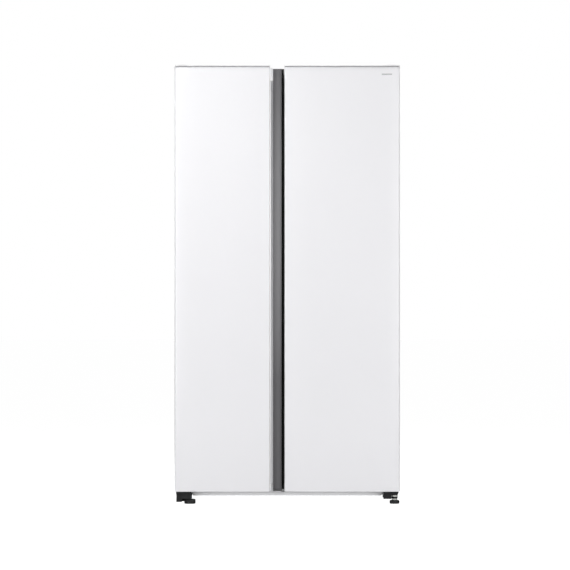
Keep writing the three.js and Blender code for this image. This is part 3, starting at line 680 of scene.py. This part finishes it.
liner_white = Finish("liner_plastic", "liner_plastic", roughness=0.3, specular_ior_level=0.5)
liner_white.clouded(liner_white.noise(4.0, 3.0), (0.83, 0.845, 0.86), (0.87, 0.88, 0.89), (0.1, 0.26))
liner_white.bump(liner_white.noise(260.0, 2.0), 0.12, 0.15)

FREEZER = (-396, -44)
FRIDGE = (12, 398)
FLOOR, CEILING, LINER_BACK = 110, 1689, 295
SHELF_LEVELS = {
    "freezer": {"freezer_shelf_lower": 535, "freezer_shelf_middle": 915, "freezer_shelf_top": 1290},
    "fridge": {
        "crisper_cover": 535, "fridge_shelf_lower": 815, "fridge_shelf_middle": 1095,
        "fridge_shelf_top": 1385,
    },
}
SHELF_BACK = {"freezer": 228, "fridge": 262}
MOUTH, STEP_FRONT, STEP_TOP, LINER_WALL = -252, 100, 340, 2.5
SORTED_ALONG = Vector((1.0, 3.7, 13.1))
for name, (x0, x1) in (("freezer", FREEZER), ("fridge", FRIDGE)):
    side_view = rounded([
        (MOUTH - 40, FLOOR), (STEP_FRONT, FLOOR, 18), (STEP_FRONT, STEP_TOP, 6), (LINER_BACK, STEP_TOP, 18),
        (LINER_BACK, CEILING, 18), (MOUTH - 40, CEILING)], 6)
    liner = Shape().skin(rings(side_view, slab(x0, x1, 16), AXES["x"]))
    bmesh.ops.recalc_face_normals(liner.mesh, faces=liner.mesh.faces)
    whole = liner.mesh.verts[:] + liner.mesh.edges[:] + liner.mesh.faces[:]
    front_plane = {"plane_co": (0, MOUTH * 0.001, 0), "plane_no": (0, -1, 0)}
    bmesh.ops.bisect_plane(liner.mesh, geom=whole, dist=1e-6, clear_outer=True, **front_plane)
    bmesh.ops.solidify(liner.mesh, geom=liner.mesh.faces[:], thickness=-LINER_WALL * 0.001)
    # The cut leaves its points and faces in a chance order, so they are put in order of place.
    liner.mesh.verts.sort(key=lambda vert: vert.co.dot(SORTED_ALONG))
    liner.mesh.faces.sort(key=lambda face: face.calc_center_median().dot(SORTED_ALONG))
    back = SHELF_BACK[name]
    rests = [(319, -114, 88), (519, -114, back - 8)]
    rests += [(level, -114, back - 2) for level in SHELF_LEVELS[name].values()]
    for level, front, rear in rests:
        for wall, inner in ((x0, x0 + 8), (x1, x1 - 8)):
            rib = rectangle(front, rear, level - 6.3, level - 0.3, 2, 3)
            liner.skin(rings(rib, [(0, wall), (0, inner + (wall - inner) / 5), (1.4, inner)], AXES["x"]))
    liner.piece(f"{name}_liner_tub", "cabinet", [liner_white], [f"{name}_liner"])

# ---- Cold air parts ----
# Behind a vented cover, the freezer's fan blows air over the finned evaporator, and a duct at the
# back of the fridge lets some of it down past each shelf.

vent_white = Finish("vent_plastic", "liner_plastic", roughness=0.38, specular_ior_level=0.45)
vent_white.clouded(vent_white.noise(12.0, 3.0), (0.8, 0.815, 0.83), (0.85, 0.86, 0.87))
vent_white.bump(vent_white.noise(1100.0, 2.0), 0.3, 0.1)
dress(["evaporator_cover", "fridge_air_duct"], vent_white, 1.0, 3)
dress(["evaporator"], fin_metal, 0)
fan_blades((-220, 262, 960), "y", 54, 16, 4.6, 13, 5, 18).piece(
    "evaporator_blades", "evaporator_fan_body", [moulded_black], ["evaporator_fan"])

# ---- Interior lamps ----
# Strips of white light-emitting diodes behind a frosted lens, snapped into each compartment's
# ceiling and up both sides of the fridge's air duct.

lens = Finish("lamp_lens", "liner_plastic", roughness=0.35, emission_strength=0.35)
ripple = lens.noise(160.0, 2.0)
lens.feed(
    base_color=lens.mix(ripple, (0.86, 0.9, 0.94), (0.93, 0.96, 1.0)),
    emission_color=lens.mix(ripple, (0.8, 0.9, 1.0), (0.95, 0.98, 1.0)),
)
lens.bump(ripple, 0.3, 0.2)
for name, (x0, x1) in (("freezer", FREEZER), ("fridge", FRIDGE)):
    middle = (x0 + x1) / 2
    lamp = Shape()
    bed = rectangle(middle - 112, middle + 112, -206, -164, 10)
    lamp.skin(rings(bed, slab(CEILING - 6, CEILING, 1.5)), mark=1)
    glass = rectangle(middle - 104, middle + 104, -199, -171, 7)
    lamp.skin(rings(glass, slab(CEILING - 9, CEILING - 5, 2)))
    lamp.piece(f"{name}_ceiling_lamp", "cabinet", [lens, vent_white])
back_lamp = Shape()
for left in (84, 306):
    strip = rectangle(left, left + 20, 640, 1580, 8)
    back_lamp.skin(rings(strip, slab(264.5, 268.2, 1.5), AXES["y"]))
back_lamp.piece("fridge_back_lamps", "cabinet", [lens])

# ---- Control panel ----
# A dark glass touch panel, glued into a flat frame under the fridge's ceiling, with a row of plain
# lit touch spots.

panel_glass = Finish("panel_glass", "black_plastic", roughness=0.08, coat_weight=0.6)
panel_glass.clouded(panel_glass.noise(8.0, 2.0), (0.012, 0.014, 0.018), (0.02, 0.023, 0.028))
panel = Shape()
panel.skin(rings(rectangle(130, 280, CEILING - 26, CEILING - 1, 5), slab(-222, -214, 1.5), AXES["y"]))
for k in range(5):
    panel.skin(turned([(3.0, -222.6), (3.0, -221.5)], (157 + 24 * k, 0, CEILING - 13.5), "y", 20), mark=1)
panel.piece("control_panel", "cabinet", [panel_glass, lens])

# ---- Shelves ----
# Toughened glass with ground edges, held in a white moulded nose at the front and a low stop at
# the back. The pane over the crispers is their lid.

pane = Finish("shelf_pane", "shelf_glass", roughness=0.04, specular_ior_level=0.6)
facing = pane.node("LayerWeight", {}, {"Blend": 0.35}, out="Facing")
smear = pane.noise(9.0, 4.0)
pane.feed(
    base_color=pane.mix(facing, (0.82, 0.93, 0.9), (0.52, 0.74, 0.68)),
    roughness=smear * 0.05 + 0.03,
    alpha=facing * 0.45 + 0.24,
)
pane.material.surface_render_method = "BLENDED"
shelf_trim = Finish("shelf_trim", "white_plastic", roughness=0.34, specular_ior_level=0.5)
shelf_trim.clouded(shelf_trim.noise(20.0, 2.0), (0.84, 0.85, 0.86), (0.88, 0.885, 0.89))
shelf_trim.bump(shelf_trim.noise(1400.0, 2.0), 0.2, 0.06)
silver = Finish("silver_strip", "grip_metal", metallic=0.9)
brushing = silver.noise(900.0, 3.0, (0.02, 1.0, 1.0))
silver.clouded(brushing, (0.6, 0.6, 0.62), (0.78, 0.78, 0.8), (0.18, 0.22))

for name, levels in SHELF_LEVELS.items():
    x0, x1 = (v + s * 2 for v, s in zip(FREEZER if name == "freezer" else FRIDGE, (1, -1)))
    back = SHELF_BACK[name]
    for node, level in levels.items():
        shelf = Shape()
        glass = rectangle(x0 + 2, x1 - 2, -120, back - 5, 4)
        shelf.skin(rings(glass, slab(level + 0.6, level + 4.6, 0.6)))
        nose = rounded([
            (-130, level - 3.6, 2.5), (-120, level - 3.6, 1), (-117, level - 0.2), (-112, level - 0.2),
            (-112, level + 0.4), (-120, level + 0.4), (-120, level + 4.8), (-110, level + 4.8),
            (-110, level + 6, 0.5), (-119, level + 8.8, 2), (-130, level + 8.8, 3.5)], 4)
        shelf.skin(rings(nose, slab(x0, x1, 1.0), AXES["x"]), mark=1)
        stop = rounded([
            (back - 7, level, 0), (back, level, 0), (back, level + 13.6, 2), (back - 3, level + 13.6, 1.2),
            (back - 4.5, level + 5.4, 1), (back - 7, level + 5.0, 0)], 3)
        shelf.skin(rings(stop, slab(x0, x1, 0.8), AXES["x"]), mark=1)
        shelf.piece(f"{node}_glazed", "cabinet", [pane, shelf_trim], [node])
        inlay = Shape()
        band = rectangle(x0 + 6, x1 - 6, level + 0.2, level + 5, 1.5, 3)
        inlay.skin(rings(band, slab(-130.35, -129.2, 0.3), AXES["y"]))
        inlay.piece(f"{node}_strip", "cabinet", [silver])

# ---- Drawers ----
# Tubs moulded from clear plastic, with drawn-in corners, a rim that hangs on the liner's ribs and
# a white front that carries the grip.

clear = Finish("clear_plastic", "bin_plastic", roughness=0.16, specular_ior_level=0.5)
facing = clear.node("LayerWeight", {}, {"Blend": 0.4}, out="Facing")
flow = clear.noise(10.0, 3.0)
clear.clouded(flow, (0.8, 0.86, 0.9), (0.88, 0.92, 0.95), (0.12, 0.1)).feed(alpha=facing * 0.45 + 0.3)
clear.bump(clear.noise(70.0, 2.0), 0.15, 0.2)
clear.material.surface_render_method = "BLENDED"


def tub_profile(height, wall, radius, draft=0.0, floor=None):
    """From the outside of a tub's floor up its wall, over its rim and down to the inside of its floor."""
    floor = wall if floor is None else floor
    arc = [math.radians(a) for a in (0, 22, 45, 67, 90)]
    outer = [(radius * (1 - math.sin(a)), radius * (1 - math.cos(a))) for a in arc]
    rim = [(0, height - 1), (wall * 0.25, height - 0.2), (wall * 0.75, height - 0.2), (wall, height - 1)]
    inner = [
        (wall + (radius - wall) * (1 - math.sin(a)), floor + (radius - wall) * (1 - math.cos(a)))
        for a in reversed(arc)
    ]
    return [(depth + draft * (1 - h / height), h) for depth, h in outer + rim + inner]


def raised(bottom, place=AXES["z"]):
    """Places a tub's point by its height over the tub's bottom."""
    return lambda a, b, h: place(a, b, bottom + h)


DRAWERS = {
    "freezer_drawer_upper": (-385, -55, 222, 346, 176), "freezer_drawer_lower": (-385, -55, 90, 112, 210),
    "crisper_drawer_upper": (23, 387, 256, 346, 176), "crisper_drawer_lower": (23, 387, 90, 112, 210),
}
for node, (x0, x1, back, bottom, height) in DRAWERS.items():
    drawer = Shape()
    walls = tub_profile(height, 2.6, 8, 3.5)
    drawer.skin(rings(rectangle(x0, x1, -129, back, 14, 6), walls, raised(bottom)))
    top = bottom + height
    for inner, outer in ((x0 + 1, x0 - 4.6), (x1 - 1, x1 + 4.6)):
        low, high = sorted((inner, outer))
        drawer.skin(rings(rectangle(low, high, -112, back - 8, 1.5, 3), slab(top - 2.9, top - 0.2, 0.7)))
    drawer.piece(f"{node}_tub", f"{node}_body", [clear], [node])
    front = Shape()
    face = rectangle(x0 + 10, x1 - 10, bottom + 12, top - 1, 8, 5)
    front.skin(rings(face, slab(-132.6, -129.4, 1.2), AXES["y"]))
    grip = rounded([
        (-138, top - 25, 2), (-134.6, top - 28, 1.4), (-134.6, top - 9, 1.2), (-130, top - 8, 0),
        (-130, top - 3.6, 0), (-136, top - 4.2, 2.5), (-138, top - 8, 2)], 4)
    front.skin(rings(grip, slab(x0 + 60, x1 - 60, 1.2), AXES["x"]))
    front.piece(f"{node}_front", f"{node}_body", [shelf_trim])

# ---- Top hinges and their covers ----
# Zinc-plated arms screwed to the cabinet's top, each with a pin down into its door, under a white
# moulded cover. The cover's lower edge steps up over the door, which clears it as it turns.

dress(["top_hinge_left", "top_hinge_right"], zinc, 0.7)
cap_white = Finish("cap_plastic", "white_plastic", roughness=0.42, specular_ior_level=0.4)
cap_white.clouded(cap_white.noise(14.0, 3.0), (0.82, 0.82, 0.835), (0.86, 0.86, 0.87), (0.1, 0.38))
cap_white.bump(cap_white.noise(1200.0, 2.0), 0.35, 0.08)

HINGE_X, HINGE_Y = 432, -302
SIDES = {"freezer": 1, "fridge": -1}


def from_hinge(side):
    """Places a point given from the hinge axis: u towards the door's free edge, v into the cabinet."""
    return lambda u, v, z: (side * (u - HINGE_X), HINGE_Y + v, z)


def upright(side):
    """Places a door outline's point (u, z) at a depth v into the cabinet."""
    place = from_hinge(side)
    return lambda u, z, v: place(u, v, z)


COVER_WALL = 1.6
for name, side in SIDES.items():
    hand = "left" if side == 1 else "right"
    place = from_hinge(side)
    plan = rounded([
        (-12, 150, 5), (-12, 53), (-12, 51), (-12, -18, 13), (17, -18, 13), (48, 44, 6), (48, 51), (48, 53),
        (48, 150, 5)], 6)
    cover = Shape()
    foot_level, nose_level, roof = 1744.5, 1751.4, 1780
    crown = [(5 - 5 * math.cos(a), roof - 5 + 5 * math.sin(a)) for a in (0, 0.4, 0.8, 1.2, 1.57)]
    under = [(COVER_WALL, roof - COVER_WALL - 3), (COVER_WALL + 3, roof - COVER_WALL)]
    shell = rings(plan, [(0, foot_level)] + crown, place)
    inner = rings(plan, under[::-1] + [(COVER_WALL, foot_level)], place)
    for ring in (shell[0], inner[-1]):
        for i, (x, y, z) in enumerate(ring):
            if y - HINGE_Y < 52:
                ring[i] = (x, y, nose_level)
    cover.skin([inner[-1]] + shell, capped=False)
    cover.mesh.faces.new([cover.mesh.verts.new(Vector(p) * 0.001) for p in shell[-1]])
    cover.skin(inner, capped=False)
    cover.mesh.faces.new([cover.mesh.verts.new(Vector(p) * 0.001) for p in inner[0]])
    bmesh.ops.remove_doubles(cover.mesh, verts=cover.mesh.verts, dist=1e-6)
    cover.piece(f"hinge_cap_{hand}", "cabinet", [cap_white], [f"hinge_cover_{hand}"])

# ---- Door sheets ----
# The outside of each door is a steel sheet with a satin white coat, folded round the hinged edge
# and curled in over the ends. It shows a faint orange peel.

door_white = Finish(
    "door_paint", "white_painted_steel", roughness=0.32, coat_weight=0.25, coat_roughness=0.12)
cloud = door_white.noise(2.5, 2.0)
door_white.clouded(cloud, (0.885, 0.882, 0.905), (0.895, 0.892, 0.915), (0.05, 0.3))
door_white.bump(door_white.noise(320.0, 2.0), 0.1, 0.12)

DOORS = {
    "freezer": {"edge": 362.2, "return": 10, "free": 411},
    "fridge": {"edge": 443, "return": 16, "free": 443},
}
DOOR_BOTTOM, DOOR_TOP, SHEET_TOP, SEAM = 52, 1776, 1770.4, 2.6
FRONT_V, BACK_V, OUTER_U = -55.8, 36, -24
SHEET, CURL = 1.5, 3.5
POCKET_V, POCKET_Z = -38, 1750


def fold_corner(u, v, radius, turn):
    """The points of a rounded corner between the front and a side. Turn is 1 at the free edge."""
    sweep = [math.radians(a) for a in range(0, 91, 15)]
    points = [Vector((u - turn * radius * (1 - math.cos(a)), v + radius * (1 - math.sin(a)))) for a in sweep]
    return points if turn > 0 else points[::-1]


def door_plan(edge, side_return):
    """The sheet's fold in plan, from its return at the free edge round to the back of the hinged side."""
    plan = [Vector((edge, FRONT_V + side_return))] + fold_corner(edge, FRONT_V, 5, 1)
    plan += [Vector((u, FRONT_V)) for u in (edge * 0.7, edge * 0.4, edge * 0.1)]
    return plan + fold_corner(OUTER_U, FRONT_V, 8, -1) + [Vector((OUTER_U, v)) for v in (POCKET_V, BACK_V)]


def pulled_in(plan, distance):
    """An open plan moved towards the inside of the door."""
    moved = []
    for i, here in enumerate(plan):
        before, after = plan[max(i - 1, 0)], plan[min(i + 1, len(plan) - 1)]
        a = (here - before if i else after - here).normalized()
        b = (after - here if after != here else here - before).normalized()
        normal = Vector((a.y + b.y, -a.x - b.x)).normalized()
        moved.append(here + normal * distance / max(normal.dot(Vector((a.y, -a.x))), 0.35))
    return moved


def folded(plan, levels, thickness, place):
    """A folded strip of a thickness, through levels of (depth, height), open where the hinge's pocket is."""
    shape = Shape()
    middle = (levels[0][1] + levels[-1][1]) / 2
    for inner in (0, thickness):
        rows = []
        for depth, z in levels:
            level = z + math.copysign(inner, middle - z) * min(depth, CURL) / CURL
            points = [place(p.x, p.y, level) for p in pulled_in(plan, depth + inner)]
            rows.append([shape.mesh.verts.new(Vector(p) * 0.001) for p in points])
        for (_, z), low, high in zip(levels, rows, rows[1:]):
            for i in range(len(low) - (2 if z >= POCKET_Z else 1)):
                shape.mesh.faces.new((low[i], low[i + 1], high[i + 1], high[i]))
    loose = [v for v in shape.mesh.verts if not v.link_faces]
    bmesh.ops.delete(shape.mesh, geom=loose, context="VERTS")
    rim = [edge for edge in shape.mesh.edges if edge.is_boundary]
    bmesh.ops.bridge_loops(shape.mesh, edges=rim)
    return shape


# A dark grey strip laid in the groove between the sheet and the top rim. Its dark colour is a painted shadow
# for the seam line.
seam_tape = Finish("seam_tape", "seal_rubber", roughness=0.8, specular_ior_level=0.2)
seam_tape.clouded(seam_tape.noise(400.0, 3.0), (0.24, 0.24, 0.25), (0.3, 0.3, 0.31))

quarter = [math.radians(a) for a in (90, 67, 45, 22, 0)]
for name, door in DOORS.items():
    plan = door_plan(door["edge"], door["return"])
    levels = [(9, DOOR_BOTTOM)]
    levels += [(CURL * (1 - math.cos(a)), DOOR_BOTTOM + CURL * (1 - math.sin(a))) for a in quarter]
    levels += [(0, z) for z in (500, 950, 1400, POCKET_Z)]
    levels += [(CURL * (1 - math.cos(a)), SHEET_TOP - CURL * (1 - math.sin(a))) for a in reversed(quarter)]
    levels += [(9, SHEET_TOP)]
    place = from_hinge(SIDES[name])
    sheet = folded(plan, levels, SHEET, place)
    sheet.piece(f"{name}_door_sheet", f"{name}_door", [door_white], [f"{name}_door_skin"], angle=50)
    rim = [(0.5, SHEET_TOP + SEAM), (0.2, SHEET_TOP + SEAM + 0.4), (0.2, DOOR_TOP - 1), (0.5, DOOR_TOP - 0.3)]
    folded(plan, rim + [(0.9, DOOR_TOP)], 1.3, place).piece(
        f"{name}_door_top_rim", f"{name}_door", [cap_white], angle=50)
    seam_shadow_levels = [(1.0, SHEET_TOP - 2), (1.0, SHEET_TOP + SEAM + 1)]
    folded(plan, seam_shadow_levels, 0.7, place).piece(f"{name}_door_top_seam", f"{name}_door", [seam_tape], angle=50)

# ---- Door end caps ----
# White mouldings that plug into the top and bottom of each door's folded sheet and hold the
# bearings for its pins.

caps = [f"{name}_door_{end}_cap" for name in DOORS for end in ("top", "bottom")]
dress(caps, cap_white, 1.5, 3)

# ---- Door liners ----
# Each door's inside is one drawn white sheet, with a raised ridge all round that the bins hang
# in and that closes the compartment's mouth.

RIDGES = {"freezer": (42, 380), "fridge": (40, 412)}
for name, (u0, u1) in RIDGES.items():
    flange = rectangle(-22.2, DOORS[name]["free"], 66.3, 1744, 2, 6)
    ridge = rectangle(u0, u1, 116, 1683, 14, 6)
    shape = Shape()
    shape.skin(rings(flange, [(0, 33.5), (0, 35.4), (0.6, 36)], upright(SIDES[name])))
    crest = [(0, 35), (0.4, 38), (1.2, 42), (3, 60)]
    crest += [(3 + 4 - 4 * math.cos(a), 62 + 4 * math.sin(a)) for a in (0.0, 0.5, 1.0, 1.57)]
    crest += [(16 - 4 - 1.5 + 4 * math.sin(a), 62 + 4 * math.cos(a)) for a in (0.0, 0.5, 1.0, 1.57)]
    crest += [(15.4, 40), (16, 37), (17, 36.2)]
    shape.skin(rings(ridge, crest, upright(SIDES[name])), capped=False)
    shape.piece(f"{name}_door_inner", f"{name}_door", [liner_white], [f"{name}_door_liner"])

# ---- Door seals ----
# Soft grey extrusions, welded at their mitred corners, with a magnet strip in the face and two
# bellows folds that let them close.

seal_grey = Finish("seal_rubber", "seal_rubber", roughness=0.6, specular_ior_level=0.3)
seal_grey.clouded(seal_grey.noise(35.0, 3.0), (0.52, 0.52, 0.54), (0.6, 0.6, 0.62), (0.2, 0.5))
seal_grey.bump(seal_grey.noise(500.0, 2.0), 0.25, 0.1)
SEALS = {"freezer": (4, 407), "fridge": (4, 439)}
for name, (u0, u1) in SEALS.items():
    section = [
        (2, 36.4), (1, 38), (2.6, 39.5), (0.6, 41), (2.6, 42.6), (0.4, 44.2), (0.2, 47.6), (1.2, 49.3),
        (14.4, 49.3), (15.6, 47.8), (15.4, 44.4), (13.2, 42.6), (15.2, 41), (13.2, 39.4), (14.6, 38),
        (13.6, 36.4),
    ]
    outline = rectangle(u0, u1, 78, 1721, 3, 4)
    seal = Shape().skin(rings(outline, section, upright(SIDES[name])), looped=True)
    seal.piece(f"{name}_door_seal", f"{name}_door", [seal_grey], [f"{name}_door_gasket"])

# ---- Grips ----
# The left door's free edge is an extruded aluminium channel: a pale satin lip, a groove for the
# fingers behind it, and a dark anodised floor. The right door has a groove in its edge.

anodised = Finish("dark_anodised", "grip_metal", metallic=0.55, specular_ior_level=0.15)
brushing = anodised.noise(700.0, 3.0, (1.0, 1.0, 0.012))
# The anodised colour is painted paler in a band centred 1.17 m up that fades out 0.66 m above and below it.
# This is a painted highlight standing for a lamp's reflection, on the channel's floor and on the right door's
# groove.
height = anodised.node("SeparateXYZ", {}, {0: anodised.at()}, out="Z")
HIGHLIGHT_HEIGHT, HIGHLIGHT_REACH = 1.17, 0.66
away = (height - HIGHLIGHT_HEIGHT) * (1 / HIGHLIGHT_REACH)
painted_highlight = (1.0 - away * away) * (away * away < 1.0)
dark = anodised.mix(brushing, (0.125, 0.123, 0.129), (0.15, 0.148, 0.155))
highlight_colour = anodised.mix(brushing, (0.21, 0.207, 0.215), (0.24, 0.237, 0.245))
anodised.feed(base_color=anodised.mix(painted_highlight, dark, highlight_colour), roughness=brushing * 0.12 + 0.34)
anodised.bump(brushing, 0.12, 0.06)
satin = Finish("satin_aluminium", "grip_metal", metallic=0.6, specular_ior_level=0.5)
brushing = satin.noise(700.0, 3.0, (1.0, 1.0, 0.012))
satin.clouded(brushing, (0.66, 0.66, 0.68), (0.74, 0.74, 0.76), (0.12, 0.32))
satin.bump(brushing, 0.12, 0.06)
GRIP_BOTTOM, GRIP_TOP = 60, 1764
along_door = {name: from_hinge(side) for name, side in SIDES.items()}
channel = rounded([
    (362.2, -42.4), (352, -38.4, 2), (352, -8, 3), (354, -6, 1.5), (411, -6, 2.5), (411, 33.2),
    (408.5, 33.2), (408.5, -3.5), (349.5, -3.5), (349.5, -38.5), (362.2, -43.8)], 4)
grip = Shape().skin(rings(channel, [(0, GRIP_BOTTOM), (0, GRIP_TOP)], along_door["freezer"]))
grip.piece("freezer_grip_channel", "freezer_door", [anodised], ["freezer_door_handle"])
lip = rounded([
    (362.4, -54.9, 0.6), (366, -54.9, 1.5), (375, -47.6, 2.5), (375, -42, 2), (362.4, -38.6, 1)], 5)
LIP_CAP = 50
grip = Shape().skin(rings(lip, slab(GRIP_BOTTOM + 24, GRIP_TOP - LIP_CAP - 1, 0.6), along_door["freezer"]))
grip.piece("freezer_grip_lip", "freezer_door", [satin])
grip = Shape().skin(rings(lip, slab(GRIP_TOP - LIP_CAP, GRIP_TOP, 1.2), along_door["freezer"]))
grip.piece("freezer_lip_top_end", "freezer_door", [door_white])
lip_foot = rounded([
    (362.6, -54.9, 0.6), (366, -54.9, 1.5), (375, -47.6, 2.5), (375, -42, 1), (362.6, -42, 0.6)], 5)
grip = Shape().skin(rings(lip_foot, slab(DOOR_BOTTOM + 2, GRIP_BOTTOM + 23, 0.8), along_door["freezer"]))
grip.piece("freezer_lip_bottom_end", "freezer_door", [satin])
groove = rounded([
    (443, -39.7, 0.8), (443, -36, 1.5), (418, -36, 2), (416, -34, 1.2), (416, -8, 1.2), (418, -6, 2),
    (443, -6, 2), (443, 33.2), (440.5, 33.2), (440.5, -3.5), (413.5, -3.5), (413.5, -39.7)], 4)
grip = Shape().skin(rings(groove, [(0, GRIP_BOTTOM), (0, GRIP_TOP)], along_door["fridge"]))
grip.piece("fridge_grip_groove", "fridge_door", [anodised], ["fridge_door_handle"])

dark_trim = Finish("dark_trim", "black_plastic", roughness=0.5, specular_ior_level=0.4)
dark_trim.clouded(dark_trim.noise(60.0, 3.0), (0.06, 0.06, 0.063), (0.085, 0.085, 0.088))
dark_trim.bump(dark_trim.noise(1200.0, 2.0), 0.3, 0.06)
# A black rubber fin across the gap between the doors. Its black is painted shade for the gap's deep shadow.
fin = rounded([
    (411.1, 12, 0.5), (418.4, 6, 0.6), (419.2, 7.4, 0.6), (413.4, 13.5, 1), (412.4, 22, 0.6), (411.1, 22)], 4)
edge_fin = Shape().skin(rings(fin, [(0, GRIP_BOTTOM), (0, GRIP_TOP)], along_door["freezer"]))
edge_fin.piece("freezer_edge_fin", "freezer_door", [bush_rubber])

# A dark plug closes the channel's foot. Its dark colour is painted shade for the shadow line where the
# channel ends.
plug_face = [(375.4, -42.2, 0.6), (410.6, -42.2, 1), (410.6, -40.6), (375.4, -40.6)]
channel_foot = Shape().skin(rings(rounded(plug_face, 3), slab(53.6, 60.5, 0.8), along_door["freezer"]))
channel_foot.piece("freezer_channel_foot", "freezer_door", [dark_trim])

# ---- Door bins ----
# Clear moulded trays with hooks that snap between the ridge's walls, and a thick front rail that
# stops the bottles.

BINS = {"freezer": ((58.5, 363.5), (62, 355)), "fridge": ((56.5, 395.5), (60, 388))}
BIN_LEVELS = ((560, 120), (850, 100), (1140, 100), (1430, 90))
for name, (ears, tray) in BINS.items():
    for k, (bottom, height) in enumerate(BIN_LEVELS):
        place = raised(bottom, from_hinge(SIDES[name]))
        plan = rounded([
            (tray[0], 38, 3), (tray[1], 38, 3), (tray[1], 156, 30), (tray[0], 156, 30)], 8)
        tray_shape = Shape()
        tray_shape.skin(rings(plan, tub_profile(height, 2.6, 7, 2.0), place))
        for low, high in ((ears[0], tray[0] + 1), (tray[1] - 1, ears[1])):
            hook = rectangle(low, high, 38, 60, 1.2, 3)
            tray_shape.skin(rings(hook, slab(6, height - 8, 1.2), place))
        tray_shape.piece(f"{name}_bin_{k + 1}", f"{name}_door", [clear], [f"{name}_door_bin_{k + 1}"])
        bar = Shape()
        rail = rounded([
            (tray[0], 60), (tray[0], 156, 30), (tray[1], 156, 30), (tray[1], 60), (tray[1] - 3.6, 60),
            (tray[1] - 3.6, 152.4, 26.4), (tray[0] + 3.6, 152.4, 26.4), (tray[0] + 3.6, 60)], 8)
        bar.skin(rings(inset(rail, -0.2), slab(height - 13, height, 1.0), place))
        bar.piece(f"{name}_bin_rail_{k + 1}", f"{name}_door", [shelf_trim])

# ---- Badge ----
# A small blank plate of brushed metal, stuck to the right door near its top outer corner. It has
# bevelled edges and no mark.

badge_metal = Finish("badge_metal", "grip_metal", metallic=0.7)
brushing = badge_metal.noise(800.0, 3.0, (0.02, 1.0, 1.0))
badge_metal.clouded(brushing, (0.4, 0.4, 0.41), (0.5, 0.5, 0.51), (0.15, 0.28))
badge = Shape()
badge.skin(rings(rectangle(382, 424, 1737.5, 1742.5, 1, 3), slab(-358.0, -357.4, 0.2), AXES["y"]))
badge.piece("blank_badge", "fridge_door", [badge_metal])

# ---- Room ----
# A plain white floor and surround, with large soft lamps in front, behind each side and overhead. Other
# than for the camera the surround is dim at the sides, so that rounded edges draw grey lines.

floor = Finish("studio_floor", "", roughness=1.0, specular_ior_level=0.0, base_color=(0.9, 0.9, 0.9))
floor.feed(emission_color=(1.0, 1.0, 1.0), emission_strength=0.22)
painted = Wire(floor.shader.outputs[0])
glow = floor.node("Emission", {}, {"Color": (1.0, 1.0, 1.0), "Strength": 0.68})
lit = floor.node("AddShader", {}, {0: painted, 1: glow})
to_camera = floor.node("LightPath", out="Is Camera Ray")
floor.show("Material Output", floor.node("MixShader", {}, {0: to_camera, 1: painted, 2: lit}))
REACH = 60
ground = Shape()
corners = ((-REACH, -REACH), (REACH, -REACH), (REACH, REACH), (-REACH, REACH))
ground.mesh.faces.new([ground.mesh.verts.new((x, y, 0)) for x, y in corners])
data = bpy.data.meshes.new("floor")
ground.mesh.to_mesh(data)
data.materials.append(floor.material)
linked("floor", data)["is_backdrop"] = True

world = bpy.data.worlds.new("surround")
bpy.context.scene.world = world
world.use_nodes = True
surround = NodeTree(world.node_tree)
way = surround.node("TexCoord", out="Generated")
forward = surround.node("SeparateXYZ", {}, {0: way}, out="Y")
upward = surround.node("SeparateXYZ", {}, {0: way}, out="Z")
FRONT_GAIN, TOP_LOSS, SIDE_LEVEL = 0.4, 0.1, 0.08
level = forward * forward * FRONT_GAIN - upward * upward * TOP_LOSS + SIDE_LEVEL
dim = surround.node("Background", {}, {"Strength": level})
white = surround.node("Background", {}, {"Color": (1.0, 1.0, 1.0), "Strength": 1.0})
to_camera = surround.node("LightPath", out="Is Camera Ray")
surround.show("World Output", surround.node("MixShader", {}, {0: to_camera, 1: dim, 2: white}))


def softbox(name, place, target, size, power):
    """A large rectangular lamp at a place, in metres, turned to face a target."""
    light = bpy.data.lights.new(name, "AREA")
    light.shape = "RECTANGLE"
    light.size, light.size_y = size
    light.energy = power
    lamp = linked(name, light)
    lamp.location = place
    lamp.rotation_euler = (Vector(target) - Vector(place)).to_track_quat("-Z", "Y").to_euler()
    lamp.visible_camera = False
    return lamp


softbox("front_left", (-2.2, -5.2, 1.1), (0, 0, 0.8), (1.8, 1.8), 93)
softbox("front_right", (2.2, -5.2, 1.1), (0, 0, 0.8), (1.8, 1.8), 66)
high_left = softbox("high_left", (-1.0, -3.6, 2.3), (-0.5, -0.36, 1.7), (0.9, 0.7), 0.7)
high_left.data.spread = math.radians(34)
softbox("overhead", (0, 1.2, 4.6), (0, 0.1, 1.7), (2.4, 1.6), 75)
softbox("side_left", (-3.6, 3.4, 1.5), (-0.45, 0.1, 0.9), (1.6, 1.6), 38)
softbox("side_right", (3.6, 3.4, 1.5), (0.45, 0.1, 0.9), (1.6, 1.6), 38)

camera_data = bpy.data.cameras.new("camera")
camera_data.sensor_width = 36
camera_data.lens = 312.4
camera_data.clip_end = 200
camera = linked("camera", camera_data)
camera.location = (-0.009, -20.358, 0.888)
camera.rotation_euler = (math.radians(90), 0, 0)
bpy.context.scene.camera = camera
bpy.context.scene.view_settings.view_transform = "Standard"

low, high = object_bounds()
